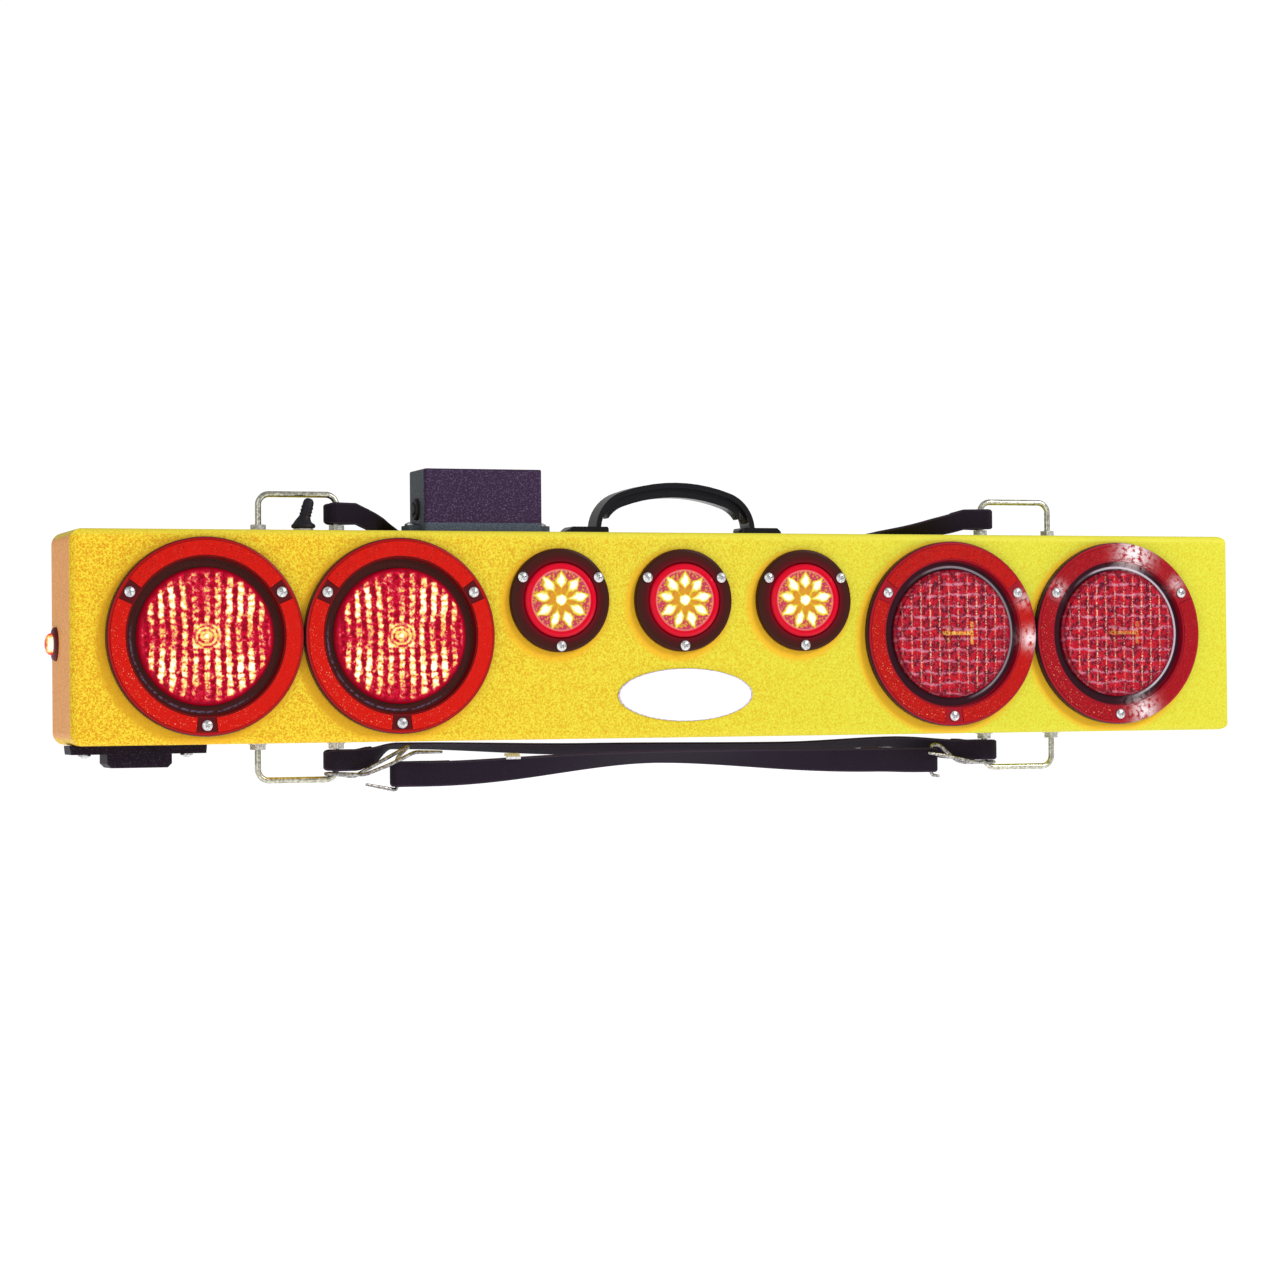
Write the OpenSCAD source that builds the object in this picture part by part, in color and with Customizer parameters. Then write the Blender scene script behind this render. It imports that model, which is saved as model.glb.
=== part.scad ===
// Trailer lighting board: a folded steel pan with four stop lamps and three tail lamps on its front,
// lashing bails, straps, a carry handle and a receiver box. Millimetres, +Z up, front towards -Y.
// The origin is the centre of the back cover's outer face.

/* [Housing] */
// Length of the board along X
bar_length = 914.4; // [905:0.1:980]
// Height of the board along Z
bar_height = 152.4; // [150:0.1:180]
// Depth of the pan, from its front face to its back lip
pan_depth = 76.2; // [70:0.1:95]
// Thickness of the pan's sheet
sheet_t = 1.6; // [1.2:0.1:2.5]
// Radius of the four corners seen from the front
corner_r = 9; // [6:0.5:14]
// Radius of the bend round the front face
edge_r = 5; // [3:0.5:6]
// Width of the lip that the back cover is screwed to
lip_w = 12; // [11:0.5:16]
// Thickness of the back cover
cover_t = 2; // [1.6:0.1:3]
// Distance of the middle cover screws from the centre
cover_screw_x = 150; // [100:1:220]

/* [Stop lamps] */
// Middle of the row of lamps along X
lamp_row_x = -3.1; // [-5:0.1:5]
// Diameter of the stop lamp's flange as a share of the board's height
stop_height_share = 0.925; // [0.88:0.001:0.93]
// The most that the flange may be as a share of the board's length
stop_length_share = 0.1542; // [0.147:0.0001:0.1545]
// Gap from the end of the board to the outer lamp's flange
stop_end_gap = 27.1; // [22:0.1:32]
// Gap between the flanges of a pair of stop lamps
stop_pair_gap = 0.8; // [0.4:0.1:3]
// Height of the flange above the front face
stop_flange_h = 7; // [6:0.1:9]
// Diameter of the lens as a share of the flange's
stop_lens_share = 0.692; // [0.67:0.001:0.7]
// Width of the sunk groove round the lens
stop_groove_w = 7.2; // [6:0.1:7.6]
// Width of the rim outside the reflectors
stop_rim_w = 2.4; // [2.2:0.1:3.4]
// Width of the plain land between the groove and the reflectors
land_w = 1; // [0.6:0.1:1.6]
// Half the angle of the plain pad round each screw
pad_angle = 6.4; // [5.8:0.1:9]
// Number of upright flutes on the lens
flutes = 12; // [8:1:14]
// Depth of the lamp body behind the front face
stop_can_depth = 38; // [30:1:45]

/* [Tail lamps] */
// Diameter of the tail lamp's flange as a share of the board's height
tail_height_share = 0.5; // [0.48:0.001:0.52]
// The most that the flange may be as a share of the board's length
tail_length_share = 0.08334; // [0.08:0.001:0.086]
// Distance between two tail lamps as a share of the board's length
tail_pitch_share = 0.1055; // [0.098:0.0005:0.1075]
// Height of the tail lamps above the middle as a share of the board's height
tail_rise_share = 0.168; // [0.15:0.001:0.18]
// Height of the tail lamp's flange above the front face
tail_flange_h = 5; // [4.5:0.1:7]
// Diameter of the lens as a share of the flange's
tail_lens_share = 0.714; // [0.68:0.001:0.72]
// Radius of the bolt circle as a share of the flange's radius
tail_screw_share = 0.882; // [0.84:0.001:0.89]
// Number of light petals in the lens
petals = 9; // [6:1:10]
// Depth of the lamp body behind the front face
tail_can_depth = 24; // [18:1:34]

/* [Lamp fixing screws] */
// Radius of the screw's shank
tap_screw_r = 2; // [1.6:0.1:2.2]
// Radius of the screw's head
tap_head_r = 3.7; // [3:0.1:3.9]
// Height of the screw's head
tap_head_h = 2.4; // [1.8:0.1:3]
// Length of the screw below its head
tap_screw_len = 16; // [12:1:20]

/* [Badge] */
// Width of the oval plate
badge_w = 106; // [90:1:110]
// Middle of the oval plate along X
badge_x = -1.2; // [-5:0.1:5]
// Height of the oval plate as a share of the board's height
badge_height_share = 0.256; // [0.22:0.001:0.27]
// Distance of the plate below the middle as a share of the board's height
badge_drop_share = 0.2915; // [0.285:0.0005:0.33]
// Thickness of the plate
badge_t = 1; // [0.6:0.1:2]

/* [Side markers] */
// Diameter of the marker's lens
marker_d = 16; // [14:0.5:18]
// How far the lens stands out of the end wall
marker_out = 8; // [6:0.5:10]
// Radial width of the rubber rim round the lens
marker_rim_w = 4.2; // [3.4:0.1:5]
// Distance of the markers behind the front face
marker_setback = 61; // [54:0.5:63]
// Distance of the markers below the middle of the board
marker_drop = 4; // [0:0.5:12]

/* [Bails] */
// Diameter of the wire
wire_d = 4.5; // [4:0.1:5]
// Distance between the legs' axes
bail_span = 58; // [54:1:66]
// Distance of the top bails from the middle of the board
top_bail_x = 286.8; // [282:0.1:296]
// Distance of the bottom bails from the middle of the board
bottom_bail_x = 288.3; // [282:0.1:296]
// Height of the wire's axis over the wall
bail_rise = 27; // [26.8:0.1:32]
// Bend radius of the wire's axis
bail_bend_r = 8; // [6:0.5:10]
// Length of leg inside the wall
bail_tail = 10; // [8:0.5:14]
// Distance of the bails, handle and box behind the front face
setback = 34; // [32:0.5:38]

/* [Nuts and bolts] */
// Nut size across its flats
nut_af = 10; // [9:0.1:10.5]
// Radius of the nut's flange
nut_flange_r = 6.7; // [6.2:0.1:7.2]
// Height of the nut
nut_h = 4.8; // [4:0.1:5]
// Radius of the machine screws
bolt_r = 2.5; // [2:0.1:2.6]
// Radius of the machine screws' heads
bolt_head_r = 4.5; // [4:0.1:4.8]
// Height of the machine screws' heads
bolt_head_h = 2.8; // [2.2:0.1:3.2]

/* [Handle] */
// Centre of the handle along X
handle_x = 1.5; // [-4:0.1:8]
// Width of the handle outside its legs
handle_span = 127; // [120:0.5:136]
// Height of the grip's top over the board
handle_rise = 38.5; // [34:0.5:46]
// Thickness of the outer band
band_t = 4; // [3:0.5:5]
// Depth of the outer band, front to back
band_d = 20; // [16:0.5:22]
// Thickness of band and rib together at the legs
leg_t = 7.5; // [6:0.5:9]
// Thickness of band and rib together at the crown
grip_t = 11; // [8:0.5:12]
// Depth of the inner rib, front to back
rib_d = 12; // [8:0.5:14]
// Height over the board at which the rib starts
rib_z = 7; // [6:0.5:9]
// Height over which each end of the rib slopes into its leg
rib_run = 11; // [8:0.5:14]
// Outside radius of the handle's shoulders
shoulder_r = 30; // [26:0.5:32]
// Half the angle of the grip's flatter crown
crown_angle = 20; // [18:0.5:24]
// Length of each foot outside its leg
foot_out = 23; // [18:0.5:24]
// Length of each foot inside its leg
foot_in = 4; // [3:0.5:8]
// Thickness of the feet
foot_t = 5; // [4.5:0.1:7]

/* [Receiver box] */
// Centre of the box along X
box_x = -152.3; // [-156:0.1:-149]
// Width of the box
box_w = 90; // [82:0.5:93]
// Depth of the box, front to back
box_d = 42; // [38:0.5:42]
// Height of the box over the board
box_h = 46; // [38:0.5:55]
// Height of the box's base
base_h = 6.5; // [6:0.1:8]
// Length of the fixing ear at each end
ear_len = 9.5; // [9:0.1:11]
// Thickness of the lid's walls
box_wall = 2.2; // [1.6:0.1:3]
// Radius of the lid's edges
box_edge_r = 2; // [1:0.1:2]
// Diameter of the round plug in the left wall
plug_d = 16; // [12:0.5:18]
// Height of the plug over the board
plug_z = 17; // [15.5:0.5:26]

/* [Toggle switch] */
// Centre of the switch along X
toggle_x = -285.7; // [-288:0.1:-283]
// Distance of the switch behind the front face
toggle_setback = 21; // [19:0.5:22]
// Lean of the lever from upright, as it is switched
toggle_lean = 15; // [10:0.5:16]
// Length of the lever above its pivot
lever_len = 17.6; // [14:0.1:18.5]
// Radius of the threaded bush
bush_r = 5.95; // [5.5:0.05:6]
// Radius of the rubber boot's foot
boot_r = 8.7; // [8:0.1:9.5]
// Wall of the rubber boot
boot_wall = 1; // [0.8:0.1:1.2]

/* [Lower block] */
// Distance of the block's middle from the end of the board
block_inset = 51.5; // [51.5:0.5:60]
// Length of the block's flange
block_flange_l = 98; // [92:0.5:100]
// Thickness of the block's flange
block_flange_t = 6.3; // [5:0.1:8]
// Length of the block's raised middle
block_l = 46; // [44:0.5:52]
// Depth of the block, front to back
block_d = 30; // [24:0.5:32]
// Height of the block below the board
block_h = 16; // [14:0.5:22]
// Distance between the block's two screws
block_screw_span = 73; // [70:0.5:74]

/* [Straps] */
// Width of the two lashing straps
strap_w = 16; // [14:0.5:16]
// Width of the hook strap
hook_strap_w = 19; // [16:0.5:20]
// Thickness of the webbing
strap_t = 1.8; // [1.2:0.1:2]
// Length of the sewn double end of a strap
strap_sewn = 25; // [22:1:34]
// Inside radius of the loop at each end of a lashing strap
loop_r = 7; // [5:0.1:7.5]
// Diameter of the hooks' wire
hook_wire_d = 2.8; // [2.4:0.1:3]

/* [Hidden] */
$fn = 64;

// Clearance of a hole round what goes through it
clear = 0.3;
// Gap that soft pieces keep from their neighbours
soft_gap = 0.5;
// How much thinner and narrower a strap is than its sewn eye
seam = 0.2;
// Overlap that keeps a cut from ending on a face
cut = 1;

depth = pan_depth + cover_t;
front_y = -depth;
top_z = bar_height / 2;
end_x = bar_length / 2;
line_y = front_y + setback;
toggle_y = front_y + toggle_setback;

stop_d = min(bar_height * stop_height_share, bar_length * stop_length_share);
stop_r = stop_d / 2;
stop_lens_r = stop_r * stop_lens_share;
stop_bore_r = stop_lens_r + clear;
stop_ledge_r = stop_lens_r - 0.8;
stop_land_r = stop_bore_r + stop_groove_w;
reflector_in_r = stop_land_r + land_w;
reflector_out_r = stop_r - stop_rim_w;
reflector_w = reflector_out_r - reflector_in_r;
stop_screw_r = (reflector_in_r + reflector_out_r) / 2;
stop_skirt_r = stop_bore_r + 4.5;
stop_hole_r = stop_skirt_r + clear;
stop_outer_x = end_x - stop_end_gap - stop_r;
stop_inner_x = stop_outer_x - stop_d - stop_pair_gap;
stop_xs = [for (x = [-stop_outer_x, -stop_inner_x, stop_inner_x, stop_outer_x]) lamp_row_x + x];
groove_h = 2.4;
reflector_t = 1.8;
reflector_floor = stop_flange_h - 1.4;
screw_angles = [30, 150, 270];

tail_r = min(bar_height * tail_height_share, bar_length * tail_length_share) / 2;
tail_z = bar_height * tail_rise_share;
tail_pitch = bar_length * tail_pitch_share;
tail_screw_r = tail_r * tail_screw_share;
tail_lens_r = tail_r * tail_lens_share;
tail_bore_r = tail_lens_r + clear;
tail_ledge_r = tail_lens_r - 0.8;
tail_skirt_r = tail_bore_r + 2;
tail_hole_r = tail_skirt_r + clear;
tail_xs = [for (i = [-1 : 1]) lamp_row_x + i * tail_pitch];

collar_h = 2;
ledge_t = 2;
can_wall = 1.5;

marker_r = marker_d / 2;
marker_rim_r = marker_r + marker_rim_w;
marker_hole_r = marker_r + 1.6;
marker_in = 14;

wire_r = wire_d / 2;
wire_hole_r = wire_r + clear;
nut_bore_r = wire_r + 0.05;
bolt_hole_r = bolt_r + clear;
top_bails = [-top_bail_x, top_bail_x];
bottom_bails = [-bottom_bail_x, bottom_bail_x];

leg_x = handle_span / 2;
foot_screw_x = leg_x + foot_out / 2 + 1;

box_y = line_y;
ear_x = box_w / 2 + ear_len / 2;
ear_t = 5;
board_t = 1.6;
post_h = 4;

pivot_z = top_z + 5.5;
bush_top = top_z + 5;
boot_foot_z = top_z + 1.9;
boot_foot_h = 3.2;
lever_r = 1.9;
bat_r = 2.6;
sleeve_in_r = bat_r + clear;
sleeve_r = sleeve_in_r + boot_wall;

block_x = -end_x + block_inset;

// Stations of a strap: x, y, height, twist in degrees, thickness
strap_drop = nut_h + soft_gap + strap_w / 2;
loop_len = 2.6 * loop_r;
hook_loop_len = 13;
top_leg_l = -top_bail_x + bail_span / 2;
top_leg_r = top_bail_x - bail_span / 2;
low_leg_l = -bottom_bail_x + bail_span / 2;
low_leg_r = bottom_bail_x - bail_span / 2;
back_lane_y = -2.4 - strap_w / 2;
flat_z = top_z + soft_gap + strap_t / 2;
hook_r = hook_wire_d / 2;
hook_eye_r = hook_r + 1.2;
hook_eye_out = hook_eye_r + 2 * strap_t - seam;
hook_bar_l = low_leg_l + 43.6;
hook_bar_r = low_leg_r - 48.4;
hook_lane_y = line_y - 6;
hook_front_y = hook_lane_y - hook_eye_out - hook_r - 0.2;
hook_z_l = -24;
hook_z_r = -20.5;

// A rectangle with round corners
module rounded_rect(w, h, r) {
    square([w - 2 * r, h], center = true);
    square([w, h - 2 * r], center = true);
    for (x = [-1, 1], y = [-1, 1])
        translate([x * (w / 2 - r), y * (h / 2 - r)]) circle(r);
}

// A rectangle standing on y = 0 with its two upper corners round
module arch_rect(w, h, r) {
    translate([-w / 2, 0]) square([w, h - r]);
    translate([-w / 2 + r, 0]) square([w - 2 * r, h]);
    for (x = [-1, 1]) translate([x * (w / 2 - r), h - r]) circle(r);
}

// A block on z = 0 with round upright corners and round upper edges
module soft_block(w, d, h, rc, re) {
    intersection() {
        linear_extrude(h) rounded_rect(w, d, rc);
        rotate([90, 0, 0]) linear_extrude(d + 2 * cut, center = true) arch_rect(w, h, re);
        rotate([90, 0, 90]) linear_extrude(w + 2 * cut, center = true) arch_rect(d, h, re);
    }
}

// Put a piece on the front face: its own +Z points out of the face
module on_front(x, z) {
    translate([x, front_y, z]) rotate([90, 0, 0]) children();
}

module at_stop(i) {
    on_front(stop_xs[i], 0) children();
}

module at_tail(i) {
    on_front(tail_xs[i], tail_z) children();
}

// Put a piece on an end wall: side is -1 for the left end and 1 for the right
module on_end(side) {
    translate([side * end_x, front_y + marker_setback, -marker_drop]) rotate([0, side * 90, 0]) children();
}

// Put a piece on the top wall (side 1) or, upside down, on the bottom wall (side -1)
module on_wall(side, x, y) {
    translate([x, y, side * top_z]) rotate([side > 0 ? 0 : 180, 0, 0]) children();
}

module ring_of_screws(r) {
    for (a = screw_angles) rotate([0, 0, a]) translate([r, 0, 0]) children();
}

module bail_legs() {
    for (x = top_bails, s = [-1, 1]) on_wall(1, x + s * bail_span / 2, line_y) children();
    for (x = bottom_bails, s = [-1, 1]) on_wall(-1, x + s * bail_span / 2, line_y) children();
}

module mounting_points() {
    for (s = [-1, 1]) {
        on_wall(1, handle_x + s * foot_screw_x, line_y) children();
        on_wall(1, box_x + s * ear_x, box_y) children();
        on_wall(-1, block_x + s * block_screw_span / 2, line_y) children();
    }
}

// Thickness of what a mounting screw's head clamps at each point
module mounting_heads() {
    for (s = [-1, 1]) {
        on_wall(1, handle_x + s * foot_screw_x, line_y) translate([0, 0, foot_t - bolt_head_h]) children();
        on_wall(1, box_x + s * ear_x, box_y) translate([0, 0, ear_t]) children();
        on_wall(-1, block_x + s * block_screw_span / 2, line_y) translate([0, 0, block_flange_t]) children();
    }
}

module cover_points() {
    cx = end_x - sheet_t - lip_w / 2;
    cz = top_z - sheet_t - lip_w / 2;
    for (x = [-cx, -cover_screw_x, cover_screw_x, cx], z = [-cz, cz])
        translate([x, 0, z]) rotate([90, 0, 0]) children();
}

module housing_shell() {
    in_w = bar_length - 2 * sheet_t;
    in_h = bar_height - 2 * sheet_t;
    color([0.93, 0.76, 0.13])
    difference() {
        translate([0, -cover_t, 0]) rotate([90, 0, 0])
            soft_block(bar_length, bar_height, pan_depth, corner_r, edge_r);
        translate([0, -cover_t - sheet_t, 0]) rotate([90, 0, 0])
            soft_block(in_w, in_h, pan_depth - 2 * sheet_t, corner_r - sheet_t, edge_r - sheet_t);
        translate([0, cut, 0]) rotate([90, 0, 0])
            linear_extrude(cover_t + sheet_t + 2 * cut)
                rounded_rect(in_w - 2 * lip_w, in_h - 2 * lip_w, corner_r - sheet_t);
        cover_points() cylinder(r = tap_screw_r + clear, h = cover_t + sheet_t + cut);
        for (i = [0 : 3]) at_stop(i) {
            translate([0, 0, -sheet_t - cut]) cylinder(r = stop_hole_r, h = sheet_t + 2 * cut);
            ring_of_screws(stop_screw_r)
                translate([0, 0, -sheet_t - cut]) cylinder(r = tap_screw_r + 0.05, h = sheet_t + 2 * cut);
        }
        for (i = [0 : 2]) at_tail(i) {
            translate([0, 0, -sheet_t - cut]) cylinder(r = tail_hole_r, h = sheet_t + 2 * cut);
            ring_of_screws(tail_screw_r)
                translate([0, 0, -sheet_t - cut]) cylinder(r = tap_screw_r + 0.05, h = sheet_t + 2 * cut);
        }
        for (side = [-1, 1]) on_end(side)
            translate([0, 0, -sheet_t - cut]) cylinder(r = marker_hole_r + 0.05, h = sheet_t + 2 * cut);
        bail_legs() translate([0, 0, -sheet_t - cut]) cylinder(r = wire_hole_r, h = sheet_t + 2 * cut);
        mounting_points() translate([0, 0, -sheet_t - cut]) cylinder(r = bolt_hole_r, h = sheet_t + 2 * cut);
        on_wall(1, toggle_x, toggle_y)
            translate([0, 0, -sheet_t - cut]) cylinder(r = bush_r + clear, h = sheet_t + 2 * cut);
        on_wall(1, box_x, box_y)
            translate([0, 0, -sheet_t - cut]) cylinder(r = 6, h = sheet_t + 2 * cut);
    }
}

module back_cover() {
    color([0.93, 0.76, 0.13])
    difference() {
        rotate([90, 0, 0]) linear_extrude(cover_t) rounded_rect(bar_length, bar_height, corner_r);
        cover_points() translate([0, 0, -0.01])
            cylinder(r1 = tap_head_r + 0.06, r2 = tap_screw_r + 0.06, h = cover_t + 0.02);
    }
}

module cover_screws() {
    color([0.75, 0.75, 0.76])
    cover_points() {
        cylinder(r1 = tap_head_r, r2 = tap_screw_r, h = cover_t);
        cylinder(r = tap_screw_r, h = cover_t + 8);
    }
}

// A pan-head screw with a cross recess; the head sits on z = 0
module pan_screw(r, len, head_r, head_h) {
    difference() {
        union() {
            translate([0, 0, -len]) cylinder(r = r, h = len + 0.2);
            intersection() {
                cylinder(r = head_r, h = head_h);
                translate([0, 0, head_h - head_r * 1.6]) sphere(r = head_r * 1.6);
            }
        }
        for (a = [45, 135]) rotate([0, 0, a])
            translate([0, 0, head_h]) cube([head_r, head_r * 0.26, head_h], center = true);
    }
}

// Flange ring of a stop lamp, with a groove round the lens and sunk arcs for the reflectors
module stop_bezel() {
    color([0.33, 0.04, 0.05])
    difference() {
        rotate_extrude($fn = 96) polygon([
            [stop_ledge_r, -collar_h - ledge_t], [stop_skirt_r, -collar_h - ledge_t],
            [stop_skirt_r, 0], [stop_r, 0],
            [stop_r, stop_flange_h - 1.6], [stop_r - 0.5, stop_flange_h - 0.5],
            [stop_r - 1.6, stop_flange_h], [stop_land_r, stop_flange_h],
            [stop_land_r - 0.5, groove_h], [stop_bore_r, groove_h],
            [stop_bore_r, -collar_h], [stop_ledge_r, -collar_h]
        ]);
        for (a = screw_angles) rotate([0, 0, a + pad_angle])
            rotate_extrude(angle = 120 - 2 * pad_angle, $fn = 96)
                translate([reflector_in_r, reflector_floor]) square([reflector_w, stop_flange_h]);
        ring_of_screws(stop_screw_r)
            translate([0, 0, -cut]) cylinder(r = tap_screw_r + clear, h = stop_flange_h + 2 * cut, $fn = 24);
    }
}

// Three arcs of prismatic reflector, lying in the bezel's sunk arcs
module stop_reflectors() {
    color([0.85, 0.08, 0.05])
    for (a = screw_angles) rotate([0, 0, a + pad_angle + 0.3])
        rotate_extrude(angle = 120 - 2 * pad_angle - 0.6, $fn = 96)
            translate([reflector_in_r + 0.15, reflector_floor]) square([reflector_w - 0.3, reflector_t]);
}

// Upright half-round flutes, cut to a disc
module flute_field(r, top, rise) {
    pitch = 2 * r / flutes;
    flute_r = pitch * 0.8;
    intersection() {
        translate([0, 0, top - rise]) cylinder(r = r, h = rise + cut);
        rotate([90, 0, 0]) linear_extrude(2 * r + 2 * cut, center = true)
            intersection() {
                for (i = [0 : flutes - 1])
                    translate([(i + 0.5) * pitch - r, top - flute_r]) circle(flute_r);
                translate([-r - cut, top - rise - cut]) square([2 * r + 2 * cut, 2 * rise + cut]);
            }
    }
}

// Lens of a stop lamp: a spigot for the lamp body, a disc, upright flutes and ring optics in the middle
module stop_lens() {
    field_r = stop_lens_r - 2.2;
    hub_r = 8;
    face_h = stop_flange_h - 1.2;
    color([0.8, 0.05, 0.08])
    union() {
        difference() {
            union() {
                cylinder(r = stop_lens_r, h = face_h - 1);
                translate([0, 0, face_h - 1]) cylinder(r1 = stop_lens_r, r2 = stop_lens_r - 1, h = 1);
                translate([0, 0, -4]) cylinder(r = stop_ledge_r - can_wall - 0.4 - clear, h = 4.5);
                flute_field(field_r, face_h + 1.8, 2.4);
            }
            translate([0, 0, -4 - cut]) cylinder(r = stop_ledge_r - can_wall - 2.6, h = 4 + cut);
            translate([0, 0, face_h + 0.4]) cylinder(r = hub_r, h = 4);
        }
        translate([0, 0, face_h]) rotate_extrude() polygon([
            [0, 0], [7.6, 0], [7.6, 1], [6.6, 1.6], [6, 0.8], [5, 0.8],
            [4.4, 1.7], [3.6, 0.8], [2.8, 0.8], [2.2, 1.6], [1, 1.9], [0, 2]
        ]);
    }
}

// Cup-shaped lamp body that hangs by its collar on the flange's ledge
module lamp_can(ledge_r, lens_r, can_depth) {
    body_r = ledge_r - 0.4;
    difference() {
        union() {
            translate([0, 0, -can_depth]) cylinder(r = body_r - 2, h = 3);
            translate([0, 0, -can_depth + 3]) cylinder(r = body_r, h = can_depth - 3);
            translate([0, 0, -collar_h]) cylinder(r = lens_r, h = collar_h);
        }
        translate([0, 0, -can_depth + 5]) cylinder(r = body_r - can_wall, h = can_depth);
    }
}

module stop_can() {
    color([0.12, 0.12, 0.13]) lamp_can(stop_ledge_r, stop_lens_r, stop_can_depth);
}

module stop_lamp_screws() {
    color([0.8, 0.8, 0.82])
    for (i = [0 : 3]) at_stop(i) ring_of_screws(stop_screw_r)
        translate([0, 0, stop_flange_h]) pan_screw(tap_screw_r, tap_screw_len, tap_head_r, tap_head_h, $fn = 24);
}

module tail_flange() {
    color([0.22, 0.05, 0.06])
    difference() {
        rotate_extrude() polygon([
            [tail_ledge_r, -collar_h - ledge_t], [tail_skirt_r, -collar_h - ledge_t],
            [tail_skirt_r, 0], [tail_r, 0],
            [tail_r, tail_flange_h - 2], [tail_r - 0.6, tail_flange_h - 0.6],
            [tail_r - 2, tail_flange_h], [tail_bore_r + 1, tail_flange_h],
            [tail_bore_r, tail_flange_h - 1], [tail_bore_r, -collar_h], [tail_ledge_r, -collar_h]
        ]);
        ring_of_screws(tail_screw_r)
            translate([0, 0, -cut]) cylinder(r = tap_screw_r + clear, h = tail_flange_h + 2 * cut, $fn = 24);
    }
}

// A drop-shaped light petal lying along +X, round at its inner end and pointed at the distance len
module petal(len, w) {
    circle(w, $fn = 24);
    polygon([[len, 0], [w * 0.3, -w * 0.95], [w * 0.3, w * 0.95]]);
}

// Lens of a tail lamp: a raised outer ring, a flat disc, a ring of petals and a middle dome
module tail_lens() {
    ring_in_r = tail_lens_r - 3.2;
    face_h = tail_flange_h + 0.6;
    petal_out_r = ring_in_r - 0.8;
    petal_w = petal_out_r * 0.15;
    petal_r = petal_out_r * 0.53;
    color([0.86, 0.06, 0.06])
    union() {
        difference() {
            union() {
                cylinder(r = tail_lens_r, h = face_h);
                translate([0, 0, face_h]) cylinder(r1 = tail_lens_r, r2 = ring_in_r + 1, h = 1.6);
                translate([0, 0, -4]) cylinder(r = tail_ledge_r - can_wall - 0.4 - clear, h = 4.5);
            }
            translate([0, 0, face_h]) cylinder(r = ring_in_r, h = 3);
            translate([0, 0, -4 - cut]) cylinder(r = tail_ledge_r - can_wall - 2.6, h = 4 + cut);
        }
        for (i = [0 : petals - 1]) rotate([0, 0, 90 + i * 360 / petals])
            translate([petal_r, 0, face_h - 0.2])
                linear_extrude(1) petal(petal_out_r - petal_r, petal_w);
        intersection() {
            translate([0, 0, face_h - 3]) sphere(r = 5);
            cylinder(r = 5, h = face_h + 3);
        }
    }
}

module tail_can() {
    color([0.12, 0.12, 0.13]) lamp_can(tail_ledge_r, tail_lens_r, tail_can_depth);
}

module tail_lamp_screws() {
    color([0.8, 0.8, 0.82])
    for (i = [0 : 2]) at_tail(i) ring_of_screws(tail_screw_r)
        translate([0, 0, tail_flange_h]) pan_screw(tap_screw_r, tap_screw_len, tap_head_r, tap_head_h, $fn = 24);
}

// Side marker: a domed lens pushed through a rubber grommet in the end wall
module marker_lens() {
    color([0.86, 0.05, 0.05])
    rotate_extrude() polygon([
        [0, -marker_in], [marker_r - 1, -marker_in], [marker_r - 1, -5], [marker_r, -4.2],
        [marker_r, marker_out * 0.45], [marker_r * 0.93, marker_out * 0.66], [marker_r * 0.74, marker_out * 0.85],
        [marker_r * 0.4, marker_out * 0.96], [0, marker_out]
    ]);
}

module marker_grommet() {
    color([0.15, 0.02, 0.03])
    rotate_extrude() polygon([
        [marker_r + 0.05, -sheet_t - 2.5], [marker_hole_r + 1.2, -sheet_t - 2.5], [marker_hole_r + 1.8, -sheet_t],
        [marker_hole_r, -sheet_t], [marker_hole_r, 0], [marker_rim_r, 0], [marker_rim_r, 1],
        [marker_rim_r - 1, 2.4], [marker_r + 0.05, 3]
    ]);
}

// A bail: two legs through the wall, two bends and a straight top, all of one wire
module bail(side, x) {
    straight = bail_span / 2 - bail_bend_r;
    color([0.83, 0.81, 0.72])
    on_wall(side, x, line_y) {
        for (s = [-1, 1]) {
            translate([s * bail_span / 2, 0, -bail_tail]) cylinder(r = wire_r, h = bail_tail + bail_rise - bail_bend_r);
            translate([s * straight, 0, bail_rise - bail_bend_r]) rotate([90, s > 0 ? 0 : -90, 0])
                rotate_extrude(angle = 90) translate([bail_bend_r, 0]) circle(wire_r, $fn = 32);
        }
        translate([-straight, 0, bail_rise]) rotate([0, 90, 0]) cylinder(r = wire_r, h = 2 * straight);
    }
}

// A hexagon flange nut with its flange on z = 0
module flange_nut(bore_r) {
    difference() {
        union() {
            cylinder(r = nut_flange_r, h = 1, $fn = 40);
            cylinder(r = nut_af / 2 / cos(30), h = nut_h, $fn = 6);
        }
        translate([0, 0, -cut]) cylinder(r = bore_r, h = nut_h + 2 * cut, $fn = 32);
    }
}

module bail_nuts() {
    color([0.72, 0.72, 0.7]) bail_legs() flange_nut(nut_bore_r);
}

module inner_nuts() {
    color([0.72, 0.72, 0.7]) {
        bail_legs() translate([0, 0, -sheet_t]) mirror([0, 0, 1]) flange_nut(nut_bore_r);
        mounting_points() translate([0, 0, -sheet_t]) mirror([0, 0, 1]) flange_nut(bolt_r + 0.05);
    }
}

module mounting_screws() {
    color([0.78, 0.78, 0.8])
    mounting_heads() pan_screw(bolt_r, block_flange_t + sheet_t + nut_h + 1, bolt_head_r, bolt_head_h, $fn = 32);
}

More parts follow.
